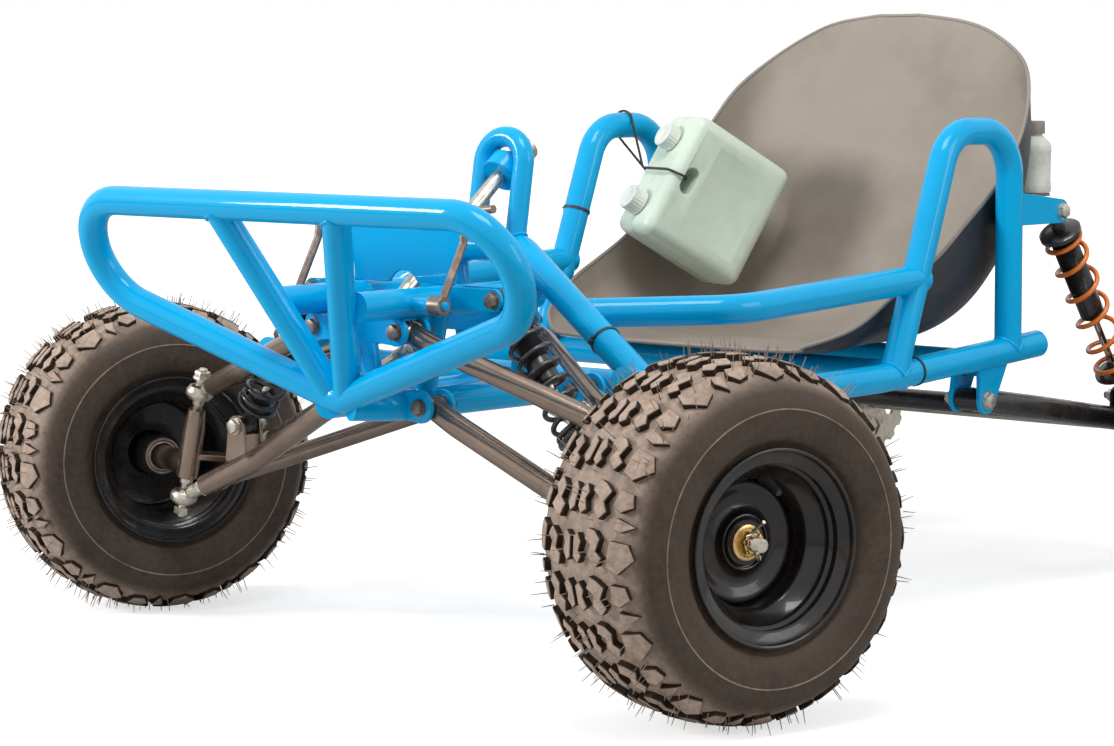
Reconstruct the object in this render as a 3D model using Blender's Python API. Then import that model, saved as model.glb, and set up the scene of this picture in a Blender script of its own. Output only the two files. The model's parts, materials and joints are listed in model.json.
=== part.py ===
"""Off-road racing kart on a welded tube frame. Metres, +Z up, the nose towards -Y, the driver's left at +X.

The kart is drawn from a datum on the ground midway between the front kingpins, and then moved so that
the middle of its footprint is the origin."""

import math

import bmesh
import bpy
from mathutils import Matrix, Vector

# Where the middle of the footprint lies, seen from the kingpin line
MIDDLE_X = -0.00749
MIDDLE_Y = 0.57946
GROUND_Z = -0.00131

# Clearances
GAP = 0.0003
RUNNING_GAP = 0.0004

# Tubes
FRAME_OD = 0.036
POST_OD = 0.026
TUBE_SIDES = 8
BEND_STEP = math.radians(20)

# Bumper loop
BUMPER_TOP_Y = -0.200
BUMPER_TOP_Z = 0.552
BUMPER_APEX_Y = -0.096
BUMPER_APEX_Z = 0.320
BUMPER_HALF_WIDTH = 0.353
BUMPER_END_RADIUS = 0.067
BUMPER_APEX_RADIUS = 0.05
STRUT_TOP_X = 0.103
STRUT_FOOT_X = 0.012

# Front box
UPPER_RAIL_X = 0.070
UPPER_RAIL_Z = 0.436
LOWER_RAIL_X = 0.040
LOWER_RAIL_Z = 0.312
BOX_FRONT_Y = -0.138
LOWER_RAIL_FRONT_Y = -0.100
FRONT_POST_Y = 0.0
REAR_POST_Y = 0.165

# Arch over the front box, and the hoop that carries the steering column
ARCH_FOOT = (0.303, 0.100, 0.346)
ARCH_CROWN_X = 0.045
ARCH_CROWN_Z = 0.490
ARCH_BEND_RADIUS = 0.045
STEERING_HOOP_X = 0.034
STEERING_HOOP_TOP_Y = 0.187
STEERING_HOOP_TOP_Z = 0.625

# Side frames
SIDE_X = 0.305
RAIL_FRONT = (0.060, 0.350)
RAIL_LOW = (0.300, 0.3145)
RAIL_SEAT = (0.550, 0.317)
RAIL_REAR = (0.892, 0.339)
HOOP_FRONT_FOOT_Y = 0.575
HOOP_FRONT_LEAN = 0.375
HOOP_TOP_Z = 0.625
HOOP_REAR_Y = 0.825
HOOP_BEND_RADIUS = 0.070
SIDE_BAR_REAR = (0.305, 0.634, 0.440)
SIDE_BAR_BEND = (0.303, 0.278, 0.421)
SIDE_BAR_FRONT = (0.166, 0.148, 0.417)
SIDE_BAR_RADIUS = 0.09
FRONT_CROSS_Y = 0.300
SEAT_CROSS_Y = 0.600
REAR_CROSS_Y = 0.795
SEAT_TUBE_Z = 0.318

# Front plate
PLATE_Y = 0.009
PLATE_THICKNESS = 0.004
PLATE_HALF_BOTTOM = 0.085
PLATE_HALF_TOP = 0.112
PLATE_TOP_Z = 0.530
COLUMN_NOTCH_Z = 0.443
COLUMN_NOTCH_RADIUS = 0.026

# Wishbones
LOWER_PIVOT_X = 0.075
LOWER_PIVOT_Z = LOWER_RAIL_Z
LOWER_FRONT_BUSH_Y = -0.020
LOWER_REAR_BUSH_Y = 0.245
UPPER_PIVOT_X = 0.070
UPPER_PIVOT_Z = 0.403
UPPER_FRONT_BUSH_Y = -0.054
UPPER_REAR_BUSH_Y = 0.135
BUSH_OD = 0.026
BUSH_LENGTH = 0.030
PIVOT_BOLT_DIAMETER = 0.010
PIVOT_SIDES = 8
PIVOT_BORE = (PIVOT_BOLT_DIAMETER / 2 + RUNNING_GAP) / math.cos(math.pi / PIVOT_SIDES)
EAR_THICKNESS = 0.006
LOWER_EAR_RADIUS = 0.019
UPPER_EAR_RADIUS = 0.017
LOWER_JOINT = (0.400, 0.0, 0.160)
UPPER_JOINT = (0.366, 0.0, 0.297)
LOWER_FRONT_OD = 0.028
LOWER_REAR_OD = 0.024
UPPER_ARM_OD = 0.026
UPPER_REAR_OD = 0.018
UPPER_KNEE_X = 0.300
UPPER_KNEE_Y = 0.035
EYE_OD = 0.036
EYE_LENGTH = 0.016
BALL_RADIUS = 0.0105
UPPER_STUD_RADIUS = 0.0075
UPPER_STUD_SLACK = 0.0040

# Uprights and hubs
KINGPIN_DIAMETER = 0.012
UPRIGHT_OD = 0.025
UPRIGHT_START = 0.027
UPRIGHT_END = 0.118
HUB_Z = 0.203
HUB_X = 0.543
STUB_RADIUS = 0.0095
STEER_ARM_LENGTH = 0.080
STEER_ARM_INSET = math.radians(15)
STEER_ARM_PITCH = math.radians(3)
STEER_ARM_Z = 0.215
STEER_ARM_WIDTH = 0.016
STEER_ARM_THICKNESS = 0.008
LEFT_STEER = math.radians(-13.4)
RIGHT_STEER = math.radians(-23.8)

# Wheels
WHEEL_SEGMENTS = 16
TYRE_RADIUS = 0.203
LUG_HEIGHT = 0.008
LUG_TAPER = 0.86
TYRE_HALF_WIDTH = 0.1010
BEAD_RADIUS = 0.0900
RIM_LIP_RADIUS = 0.109
RIM_HALF_WIDTH = 0.093
RIM_WALL = 0.0035
RIM_WELL_RADIUS = 0.074
WEB_OFFSET = 0.028
HUB_TUBE_RADIUS = 0.027
HUB_TUBE_HALF = 0.038
BEARING_RADIUS = 0.020
REAR_AXLE_RADIUS = 0.0125

# Front shock absorbers
FRONT_SHOCK_Y = 0.018
FRONT_SHOCK_TOP = (0.155, 0.440)
FRONT_SHOCK_FOOT = (0.300, 0.258)
CLEVIS_GAP = 0.024
CLEVIS_PLATE = 0.005

# Steering
COLUMN_RADIUS = 0.009
COLUMN_PASS = (0.009, 0.442)
COLUMN_BEARING = (0.183, 0.584)
PITMAN_LENGTH = 0.070
COLUMN_TURN = math.radians(18.3)
LINK_HALF = 0.026
TIE_ROD_GAP = 0.0065
TIE_ROD_RADIUS = 0.006
BALL_STUD_RADIUS = 0.0075
BALL_STUD_HEIGHT = 0.018

# Rear end
SWING_PIVOT = (0.280, 0.780, 0.271)
AXLE_Y = 1.200
AXLE_Z = 0.203
SWING_SIDE_X = 0.300
SWING_OD = 0.032
REAR_WHEEL_X = 0.455
REAR_SHOCK_TOP = (0.930, 0.515)
REAR_SHOCK_FOOT = (1.115, 0.250)
SWING_BRACE_Y = 0.985
SPROCKET_X = -0.205
SPROCKET_RADIUS = 0.076
BRAKE_DISC_X = -0.245
BRAKE_DISC_RADIUS = 0.078

# Pedals
PEDAL_X = 0.124
PEDAL_PIVOT = (-0.058, 0.436)
PEDAL_PIN_RADIUS = 0.005

# Seat shell
SEAT_WALL = 0.003
SEAT_SQUARENESS = 0.62

CHASSIS = "kart_datum"


def clear_scene():
    """Empties the scene."""
    for obj in list(bpy.data.objects):
        bpy.data.objects.remove(obj, do_unlink=True)


def material(name, colour, roughness, metallic):
    """A plain finish."""
    finish = bpy.data.materials.new(name)
    finish.use_nodes = True
    shader = finish.node_tree.nodes["Principled BSDF"]
    shader.inputs["Base Color"].default_value = (*colour, 1.0)
    shader.inputs["Roughness"].default_value = roughness
    shader.inputs["Metallic"].default_value = metallic
    return finish


FINISHES = {
    "blue_paint": ((0.0, 0.28, 0.80), 0.25, 0.0),
    "black_paint": ((0.015, 0.015, 0.016), 0.22, 0.0),
    "dark_steel": ((0.12, 0.10, 0.09), 0.35, 0.8),
    "zinc_steel": ((0.62, 0.60, 0.56), 0.35, 0.9),
    "chrome": ((0.80, 0.80, 0.80), 0.12, 1.0),
    "yellow_zinc": ((0.70, 0.52, 0.22), 0.35, 0.9),
    "seat_metal": ((0.30, 0.26, 0.20), 0.40, 0.6),
    "tyre_rubber": ((0.045, 0.036, 0.030), 0.80, 0.0),
    "black_spring": ((0.03, 0.03, 0.03), 0.35, 0.2),
    "orange_spring": ((0.85, 0.22, 0.02), 0.35, 0.0),
    "can_plastic": ((0.50, 0.62, 0.53), 0.45, 0.0),
    "cap_plastic": ((0.80, 0.80, 0.76), 0.45, 0.0),
    "black_plastic": ((0.02, 0.02, 0.02), 0.50, 0.0),
}


def add(name, mesh, finish, pivot=(0.0, 0.0, 0.0), parent=CHASSIS):
    """One named piece, with its origin moved to its joint's axis."""
    mesh.name = name
    mesh.transform(Matrix.Translation(-Vector(pivot)))
    mesh.materials.clear()
    mesh.materials.append(bpy.data.materials[finish])
    mesh.shade_smooth()
    mesh.set_sharp_from_angle(angle=math.radians(35))
    obj = bpy.data.objects.new(name, mesh)
    bpy.context.scene.collection.objects.link(obj)
    obj.location = pivot
    obj.parent = bpy.data.objects[parent]
    return obj


def empty(name, matrix, parent=None):
    """A bare axis system that pieces hang on."""
    obj = bpy.data.objects.new(name, None)
    bpy.context.scene.collection.objects.link(obj)
    obj.parent = bpy.data.objects[parent] if parent else None
    obj.matrix_local = matrix
    return obj


def side_x(point, side):
    """The same point on the left (side +1) or on the right (side -1)."""
    return Vector((side * point[0], point[1], point[2]))


def mirrored(mesh, side):
    """The mesh as it is on the left, or turned into its mirror image for the right."""
    if side < 0:
        mesh.transform(Matrix.Scale(-1, 4, (1, 0, 0)))
        mesh.flip_normals()
    return mesh


def rounded_path(corners, radius, closed=False):
    """The corners joined by straight runs, each bend an arc of the given radius."""
    points = [Vector(c) for c in corners]
    radii = radius if isinstance(radius, (list, tuple)) else [radius] * len(points)
    path = []
    for index, corner in enumerate(points):
        if not closed and index in (0, len(points) - 1):
            path.append(corner)
            continue
        back = (points[index - 1] - corner).normalized()
        ahead = (points[(index + 1) % len(points)] - corner).normalized()
        half_angle = back.angle(ahead) / 2
        turn = math.pi - 2 * half_angle
        if turn < math.radians(2):
            path.append(corner)
            continue
        middle = corner + (back + ahead).normalized() * (radii[index] / math.sin(half_angle))
        start = corner + back * (radii[index] / math.tan(half_angle)) - middle
        axis = back.cross(ahead).normalized()
        steps = max(2, round(turn / BEND_STEP))
        for step in range(steps + 1):
            path.append(middle + Matrix.Rotation(-turn * step / steps, 3, axis) @ start)
    return path


def mesh_of(obj):
    """The finished mesh of a construction object, which is then removed."""
    graph = bpy.context.evaluated_depsgraph_get()
    mesh = bpy.data.meshes.new_from_object(obj.evaluated_get(graph), depsgraph=graph)
    bpy.data.objects.remove(obj, do_unlink=True)
    return mesh


def tidy(mesh):
    """Merges doubled points and points every face outwards."""
    form = bmesh.new()
    form.from_mesh(mesh)
    bmesh.ops.remove_doubles(form, verts=form.verts, dist=1e-6)
    bmesh.ops.recalc_face_normals(form, faces=form.faces)
    form.to_mesh(mesh)
    form.free()
    return mesh


def tube(path, diameter, closed=False, sides=TUBE_SIDES):
    """A round bar along a path."""
    curve = bpy.data.curves.new("tube", "CURVE")
    curve.dimensions = "3D"
    curve.bevel_depth = diameter / 2
    curve.bevel_resolution = (sides - 4) // 2
    curve.use_fill_caps = True
    spline = curve.splines.new("POLY")
    spline.points.add(len(path) - 1)
    for point, place in zip(spline.points, path):
        point.co = (*place, 1.0)
    spline.use_cyclic_u = closed
    obj = bpy.data.objects.new("tube", curve)
    bpy.context.scene.collection.objects.link(obj)
    bpy.context.view_layer.update()
    return tidy(mesh_of(obj))


def turned(profile, segments=16):
    """A lathe form about Z from an outline of (radius, height) points, closed or ending on the axis."""
    form = bmesh.new()
    ring = [form.verts.new((radius, 0.0, height)) for radius, height in profile]
    whole = max(profile[0][0], profile[-1][0]) > 0
    count = len(ring) if whole else len(ring) - 1
    edges = [form.edges.new((ring[i], ring[(i + 1) % len(ring)])) for i in range(count)]
    bmesh.ops.spin(
        form, geom=ring + edges, cent=(0, 0, 0), axis=(0, 0, 1), angle=2 * math.pi,
        steps=segments, use_merge=True,
    )
    bmesh.ops.remove_doubles(form, verts=form.verts, dist=1e-6)
    bmesh.ops.dissolve_degenerate(form, edges=form.edges, dist=1e-7)
    bmesh.ops.recalc_face_normals(form, faces=form.faces)
    mesh = bpy.data.meshes.new("turned")
    form.to_mesh(mesh)
    form.free()
    return mesh


def rod(radius, start, end, sides=12):
    """A straight bar between two points."""
    start, end = Vector(start), Vector(end)
    length = (end - start).length
    form = bmesh.new()
    bmesh.ops.create_cone(
        form, cap_ends=True, segments=sides, radius1=radius, radius2=radius, depth=length,
    )
    mesh = bpy.data.meshes.new("rod")
    form.to_mesh(mesh)
    form.free()
    mesh.transform(Matrix.Translation((start + end) / 2) @ facing(end - start))
    return mesh


def clear_of(radius, sides):
    """Corner radius of a bore with so many sides whose flats still clear a bar of the given radius."""
    return radius / math.cos(math.pi / sides)


def facing(direction):
    """The turn that lays local Z along a direction, and keeps local X as level as it can."""
    z_axis = Vector(direction).normalized()
    x_axis = Vector((0, 0, 1)).cross(z_axis)
    if x_axis.length < 1e-6:
        x_axis = Vector((1, 0, 0))
    x_axis.normalize()
    y_axis = z_axis.cross(x_axis)
    return Matrix((x_axis, y_axis, z_axis)).transposed().to_4x4()


def at(mesh, place, direction=(0, 0, 1)):
    """Moves a mesh made round the origin to its place, with its Z along a direction."""
    mesh.transform(Matrix.Translation(Vector(place)) @ facing(direction))
    return mesh


def slab(outline, thickness):
    """A flat plate cut to an outline of (x, y) points, half its thickness to each side of z = 0."""
    form = bmesh.new()
    face = form.faces.new([form.verts.new((x, y, -thickness / 2)) for x, y in outline])
    made = bmesh.ops.extrude_face_region(form, geom=[face])
    raised = [item for item in made["geom"] if isinstance(item, bmesh.types.BMVert)]
    bmesh.ops.translate(form, verts=raised, vec=(0, 0, thickness))
    bmesh.ops.recalc_face_normals(form, faces=form.faces)
    mesh = bpy.data.meshes.new("slab")
    form.to_mesh(mesh)
    form.free()
    return mesh


def arc(centre, radius, start, end, steps):
    """Points of an arc, angles in degrees."""
    angles = [math.radians(start + (end - start) * i / steps) for i in range(steps + 1)]
    return [(centre[0] + radius * math.cos(a), centre[1] + radius * math.sin(a)) for a in angles]


def boolean(base, tool, operation):
    """The base mesh with the tool mesh joined to it or cut from it."""
    objects = []
    for mesh in (base, tool):
        obj = bpy.data.objects.new("work", mesh)
        bpy.context.scene.collection.objects.link(obj)
        objects.append(obj)
    modifier = objects[0].modifiers.new("work", "BOOLEAN")
    modifier.object = objects[1]
    modifier.operation = operation
    modifier.solver = "EXACT"
    bpy.context.view_layer.update()
    result = mesh_of(objects[0])
    bpy.data.objects.remove(objects[1], do_unlink=True)
    form = bmesh.new()
    form.from_mesh(tidy(result))
    bmesh.ops.dissolve_limit(
        form, angle_limit=math.radians(0.3), use_dissolve_boundaries=False,
        verts=form.verts, edges=form.edges,
    )
    form.to_mesh(result)
    form.free()
    return result


def welded(*meshes):
    """Several overlapping meshes as one body."""
    body = meshes[0]
    for mesh in meshes[1:]:
        body = boolean(body, mesh, "UNION")
    return body


def cut(base, *tools):
    """A mesh with each tool taken out of it."""
    for tool in tools:
        base = boolean(base, tool, "DIFFERENCE")
    return base


def hex_prism(across_flats, height):
    """A hexagon bar about Z, standing on z = 0."""
    outline = [
        (across_flats / math.sqrt(3) * math.cos(a), across_flats / math.sqrt(3) * math.sin(a))
        for a in (math.radians(60 * i + 30) for i in range(6))
    ]
    mesh = slab(outline, height)
    mesh.transform(Matrix.Translation((0, 0, height / 2)))
    return mesh


def bolt_y(place, length):
    """A pivot bolt along Y, its end standing out at the back."""
    x, y, z = place
    return rod(
        PIVOT_BOLT_DIAMETER / 2, (x, y - length / 2 - 0.004, z), (x, y + length / 2 + 0.010, z), PIVOT_SIDES,
    )


# Bumper

def bumper_parts(extra=0.0):
    """The loop and its two struts, grown by a clearance where a neighbour is cut to them."""
    rise = BUMPER_TOP_Z - BUMPER_APEX_Z
    end_x = BUMPER_HALF_WIDTH - BUMPER_END_RADIUS
    end_z = rise - BUMPER_END_RADIUS
    slope = math.atan2(end_z, end_x) - math.asin(BUMPER_END_RADIUS / math.hypot(end_x, end_z))
    corner_x = rise / math.tan(slope)
    lean = (BUMPER_TOP_Y - BUMPER_APEX_Y) / rise
    corners = [
        (corner_x, BUMPER_TOP_Y, BUMPER_TOP_Z),
        (-corner_x, BUMPER_TOP_Y, BUMPER_TOP_Z),
        (0.0, BUMPER_APEX_Y, BUMPER_APEX_Z),
    ]
    stretch = math.hypot(1.0, lean)
    radii = [BUMPER_END_RADIUS * stretch, BUMPER_END_RADIUS * stretch, BUMPER_APEX_RADIUS]
    loop = tube(rounded_path(corners, radii, closed=True), FRAME_OD + 2 * extra, closed=True)
    parts = [loop]
    for side in (1, -1):
        top = (side * STRUT_TOP_X, BUMPER_TOP_Y, BUMPER_TOP_Z)
        foot = (side * STRUT_FOOT_X, BUMPER_APEX_Y - 0.002, BUMPER_APEX_Z + 0.006)
        parts.append(tube([Vector(top), Vector(foot)], FRAME_OD - 0.002 + 2 * extra))
    return parts


def make_bumper():
    add("front_bumper", welded(*bumper_parts()), "blue_paint")


# Frame tubes, each a function so that a neighbour can be cut to its outline

def arch_tube(extra=0.0):
    corners = [
        side_x(ARCH_FOOT, -1),
        (-ARCH_CROWN_X, REAR_POST_Y, ARCH_CROWN_Z),
        (ARCH_CROWN_X, REAR_POST_Y, ARCH_CROWN_Z),
        side_x(ARCH_FOOT, 1),
    ]
    return tube(rounded_path(corners, ARCH_BEND_RADIUS), FRAME_OD + 2 * extra)


def side_rail(side, extra=0.0):
    corners = [(side * SIDE_X, y, z) for y, z in (RAIL_FRONT, RAIL_LOW, RAIL_SEAT, RAIL_REAR)]
    return tube(rounded_path(corners, 0.4), FRAME_OD + 2 * extra)


def side_hoop(side, extra=0.0):
    lean_y = HOOP_FRONT_FOOT_Y + HOOP_FRONT_LEAN * (HOOP_TOP_Z - RAIL_SEAT[1])
    corners = [
        (side * SIDE_X, HOOP_FRONT_FOOT_Y, RAIL_SEAT[1]),
        (side * SIDE_X, lean_y, HOOP_TOP_Z),
        (side * SIDE_X, HOOP_REAR_Y, HOOP_TOP_Z),
        (side * SIDE_X, HOOP_REAR_Y, RAIL_REAR[1] - 0.006),
    ]
    return tube(rounded_path(corners, HOOP_BEND_RADIUS), FRAME_OD + 2 * extra)


def side_bar(side):
    corners = [side_x(p, side) for p in (SIDE_BAR_REAR, SIDE_BAR_BEND, SIDE_BAR_FRONT)]
    return cut(tube(rounded_path(corners, SIDE_BAR_RADIUS), FRAME_OD), arch_tube(GAP))


def cross_tube(y, z, extra=0.0, reach=SIDE_X):
    return tube([Vector((-reach, y, z)), Vector((reach, y, z))], FRAME_OD + 2 * extra)


def rail_height(y):
    """Height of the side rail's centre line at a place along the kart."""
    stations = (RAIL_FRONT, RAIL_LOW, RAIL_SEAT, RAIL_REAR)
    for (y0, z0), (y1, z1) in zip(stations, stations[1:]):
        if y <= y1:
            break
    return z0 + (z1 - z0) * (y - y0) / (y1 - y0)


def ear_plate_x(place, radius, root, width, thickness):
    """A plate square to X with a round end at a bolt, running to a root point."""
    end = Vector((place[1], place[2]))
    base = Vector((root[0], root[1]))
    along = (base - end).normalized()
    heading = math.degrees(math.atan2(along.y, along.x))
    outline = arc(end, radius, heading + 90, heading + 270, 4)
    across = Vector((-along.y, along.x)) * width / 2
    outline += [tuple(base - across), tuple(base + across)]
    mesh = slab(outline, thickness)
    mesh.transform(Matrix(((0, 0, 1, place[0]), (1, 0, 0, 0), (0, 1, 0, 0), (0, 0, 0, 1))))
    return tidy(mesh)


def rear_shock_ears(side):
    """The two plates on the back of the hoop that hold the top of the rear shock absorber."""
    y, z = REAR_SHOCK_TOP
    plates = []
    for offset in (-1, 1):
        x = side * (SWING_SIDE_X + offset * (CLEVIS_GAP + CLEVIS_PLATE) / 2)
        root = (HOOP_REAR_Y + 0.004, z + 0.006)
        plates.append(ear_plate_x((x, y, z), 0.016, root, 0.044, CLEVIS_PLATE))
    inner, outer = side * (SWING_SIDE_X - 0.024), side * (SWING_SIDE_X + 0.024)
    bolt = rod(0.005, (inner, y, z), (outer, y, z), PIVOT_SIDES)
    return plates + [bolt]


def make_side_frames():
    for side, word in ((1, "left"), (-1, "right")):
        x, y, z = SWING_PIVOT
        outer = side * (x + (BUSH_LENGTH + 0.009 + EAR_THICKNESS) / 2)
        root = (REAR_CROSS_Y, rail_height(REAR_CROSS_Y))
        ear = ear_plate_x((outer, y, z), 0.018, root, 0.070, EAR_THICKNESS)
        bolt = rod(0.006, (side * (x - 0.034), y, z), (side * (x + 0.034), y, z), 8)
        frame = welded(side_rail(side), side_hoop(side), side_bar(side), ear, bolt, *rear_shock_ears(side))
        add(word + "_side_frame", frame, "blue_paint")


def make_arch():
    arch = cut(arch_tube(), side_rail(1, GAP), side_rail(-1, GAP))
    add("front_arch", arch, "blue_paint")


def dog_bone(half_length, radius, y, z):
    """A plate across the kart with a round end at each wishbone pivot."""
    outline = arc((half_length, 0), radius, -90, 90, 4) + arc((-half_length, 0), radius, 90, 270, 4)
    return at(slab(outline, EAR_THICKNESS), (0, y, z), (0, -1, 0))


def pivot_plates(pivot_x, z, bush_y, radius):
    """The front and the rear plate at one pair of bushes, with the bolts through them."""
    offset = (BUSH_LENGTH + EAR_THICKNESS) / 2 + GAP
    parts = [dog_bone(pivot_x, radius, bush_y - offset, z), dog_bone(pivot_x, radius, bush_y + offset, z)]
    for side in (1, -1):
        parts.append(bolt_y((side * pivot_x, bush_y, z), BUSH_LENGTH + 2 * EAR_THICKNESS))
    return parts


def front_shock_tower(side):
    """Two plates on the upper rail that hold the top of the front shock absorber."""
    x, z = FRONT_SHOCK_TOP
    parts = []
    outline = arc((x, 0), 0.0135, -90, 90, 4)
    outline += [(UPPER_RAIL_X - 0.006, 0.0135), (UPPER_RAIL_X - 0.006, -0.0135)]
    for offset in (-1, 1):
        y = FRONT_SHOCK_Y + offset * (CLEVIS_GAP + CLEVIS_PLATE) / 2
        plate = slab(outline, CLEVIS_PLATE)
        plate.transform(Matrix.Translation((0, y, z)) @ Matrix.Rotation(math.pi / 2, 4, "X"))
        parts.append(tidy(mirrored(plate, side)))
    parts.append(rod(
        0.005, (side * x, FRONT_SHOCK_Y - 0.022, z), (side * x, FRONT_SHOCK_Y + 0.022, z), PIVOT_SIDES,
    ))
    return parts


def make_front_frame():
    tubes = []
    for side in (1, -1):
        lower_x, upper_x = side * LOWER_RAIL_X, side * UPPER_RAIL_X
        crown_x = side * (UPPER_RAIL_X - 0.006)
        tubes += [
            tube([Vector((upper_x, BOX_FRONT_Y, UPPER_RAIL_Z)), Vector((upper_x, REAR_POST_Y, UPPER_RAIL_Z))],
                 FRAME_OD),
            tube([Vector((lower_x, LOWER_RAIL_FRONT_Y, LOWER_RAIL_Z)),
                  Vector((lower_x, FRONT_CROSS_Y, LOWER_RAIL_Z))], FRAME_OD),
            tube([(lower_x, FRONT_POST_Y, LOWER_RAIL_Z), (upper_x, FRONT_POST_Y, UPPER_RAIL_Z)],
                 POST_OD),
            tube([(lower_x, REAR_POST_Y, LOWER_RAIL_Z), (crown_x, REAR_POST_Y, ARCH_CROWN_Z - 0.020)],
                 POST_OD),
        ]
        tubes += front_shock_tower(side)
    tubes += pivot_plates(LOWER_PIVOT_X, LOWER_PIVOT_Z, LOWER_FRONT_BUSH_Y, LOWER_EAR_RADIUS)
    tubes += pivot_plates(LOWER_PIVOT_X, LOWER_PIVOT_Z, LOWER_REAR_BUSH_Y, LOWER_EAR_RADIUS)
    tubes += pivot_plates(UPPER_PIVOT_X, UPPER_PIVOT_Z, UPPER_FRONT_BUSH_Y, UPPER_EAR_RADIUS)
    tubes += pivot_plates(UPPER_PIVOT_X, UPPER_PIVOT_Z, UPPER_REAR_BUSH_Y, UPPER_EAR_RADIUS)
    frame = cut(
        welded(*tubes, *pedal_pins()), *bumper_parts(GAP), arch_tube(GAP),
        cross_tube(FRONT_CROSS_Y, RAIL_LOW[1], GAP, SIDE_X - FRAME_OD),
    )
    add("front_frame", frame, "blue_paint")


def make_front_plate():
    """The plate across the box, notched round the steering column and hollowed at its sides."""
    bottom = UPPER_RAIL_Z + FRAME_OD / 2 + GAP
    notch = math.degrees(math.asin((bottom - COLUMN_NOTCH_Z) / COLUMN_NOTCH_RADIUS))
    middle_z = (bottom + PLATE_TOP_Z) / 2
    outline = arc((0, COLUMN_NOTCH_Z), COLUMN_NOTCH_RADIUS, notch, 180 - notch, 8)
    sides = []
    for step in range(9):
        share = step / 8
        z = bottom + (PLATE_TOP_Z - bottom) * share
        x = PLATE_HALF_BOTTOM + (PLATE_HALF_TOP - PLATE_HALF_BOTTOM) * share ** 2.2
        sides.append((x, z))
    outline = outline + [(-x, z) for x, z in sides] + sides[::-1]
    outline = [(x, z - middle_z) for x, z in outline]
    plate = slab(outline, PLATE_THICKNESS)
    plate.transform(Matrix.Translation((0, PLATE_Y, middle_z)) @ Matrix.Rotation(math.pi / 2, 4, "X"))
    add("front_plate", tidy(plate), "blue_paint")


def column_direction():
    start = Vector((0, *COLUMN_PASS))
    return (Vector((0, *COLUMN_BEARING)) - start).normalized()


def make_steering_hoop():
    """A narrow hoop on the arch, with the column's bearing ring between its legs."""
    foot_z = ARCH_CROWN_Z
    top = (STEERING_HOOP_TOP_Y, STEERING_HOOP_TOP_Z)
    corners = [
        (-STEERING_HOOP_X, REAR_POST_Y, foot_z),
        (-STEERING_HOOP_X, *top),
        (STEERING_HOOP_X, *top),
        (STEERING_HOOP_X, REAR_POST_Y, foot_z),
    ]
    hoop = tube(rounded_path(corners, STEERING_HOOP_X - 0.0015), POST_OD)
    bearing_outer = STEERING_HOOP_X - POST_OD / 2 + 0.003
    ring = at(rod(bearing_outer, (0, 0, -0.012), (0, 0, 0.012), 12), (0, *COLUMN_BEARING), column_direction())
    bore = at(
        rod(clear_of(COLUMN_RADIUS + RUNNING_GAP, 12), (0, 0, -0.05), (0, 0, 0.05), 12), (0, *COLUMN_BEARING),
        column_direction(),
    )
    add("steering_hoop", cut(welded(hoop, ring), bore, arch_tube(GAP)), "blue_paint")


def make_cross_tubes():
    rails = [side_rail(1, GAP), side_rail(-1, GAP)]
    hoops = [side_hoop(1, GAP), side_hoop(-1, GAP)]
    add("front_cross_tube", cut(cross_tube(FRONT_CROSS_Y, RAIL_LOW[1]), *rails), "blue_paint")
    add("seat_cross_tube", cut(cross_tube(SEAT_CROSS_Y, SEAT_TUBE_Z), *rails, *hoops), "blue_paint")
    parts = [cross_tube(REAR_CROSS_Y, SEAT_TUBE_Z, 0.0, SIDE_X - 0.010)]
    holes = []
    x, y, z = SWING_PIVOT
    for side in (1, -1):
        inner = side * (x - (BUSH_LENGTH + 0.009 + EAR_THICKNESS) / 2)
        root = (REAR_CROSS_Y, SEAT_TUBE_Z)
        parts.append(ear_plate_x((inner, y, z), 0.018, root, 0.050, EAR_THICKNESS))
        holes.append(rod(clear_of(0.006 + GAP, 8), (side * (x - 0.06), y, z), (side * (x + 0.06), y, z), 8))
    add("rear_cross_frame", cut(welded(*parts), *rails, *hoops, *holes), "blue_paint")


# Seat shell

SEAT_FLOOR_Z = SEAT_TUBE_Z + FRAME_OD / 2 + GAP + SEAT_WALL / 2
SEAT_STATIONS = [
    # (y, z) on the middle line, then half width, y and z of the edge
    (0.515, SEAT_FLOOR_Z + 0.008, 0.215, 0.500, 0.354),
    (0.560, SEAT_FLOOR_Z, 0.262, 0.545, 0.377),
    (0.620, SEAT_FLOOR_Z, 0.277, 0.610, 0.415),
    (0.690, SEAT_FLOOR_Z, 0.277, 0.660, 0.440),
    (0.770, SEAT_FLOOR_Z, 0.277, 0.714, 0.467),
    (0.832, 0.352, 0.277, 0.765, 0.502),
    (0.872, 0.378, 0.277, 0.821, 0.540),
    (0.912, 0.425, 0.277, 0.863, 0.580),
    (0.940, 0.487, 0.273, 0.900, 0.624),
    (0.958, 0.555, 0.255, 0.939, 0.676),
    (0.971, 0.630, 0.218, 0.975, 0.718),
    (0.981, 0.705, 0.160, 0.992, 0.752),
    (0.989, 0.778, 0.072, 0.991, 0.779),
]
SEAT_ACROSS = 10
SHELF_X = (0.188, 0.222)
SHELF_THICKNESS = 0.004


def seat_point(row, share):
    """A point of the seat's middle surface: row along the stations, share from -1 to 1 across."""
    index = min(int(row), len(SEAT_STATIONS) - 2)
    ends = []
    for mid_y, mid_z, half, edge_y, edge_z in SEAT_STATIONS[index:index + 2]:
        turn = math.pi / 2 * share
        lift = 1 - math.cos(turn) ** SEAT_SQUARENESS
        across = math.copysign(abs(math.sin(turn)) ** SEAT_SQUARENESS, turn)
        ends.append(Vector((half * across, mid_y + (edge_y - mid_y) * lift, mid_z + (edge_z - mid_z) * lift)))
    return ends[0].lerp(ends[1], row - index)


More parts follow.
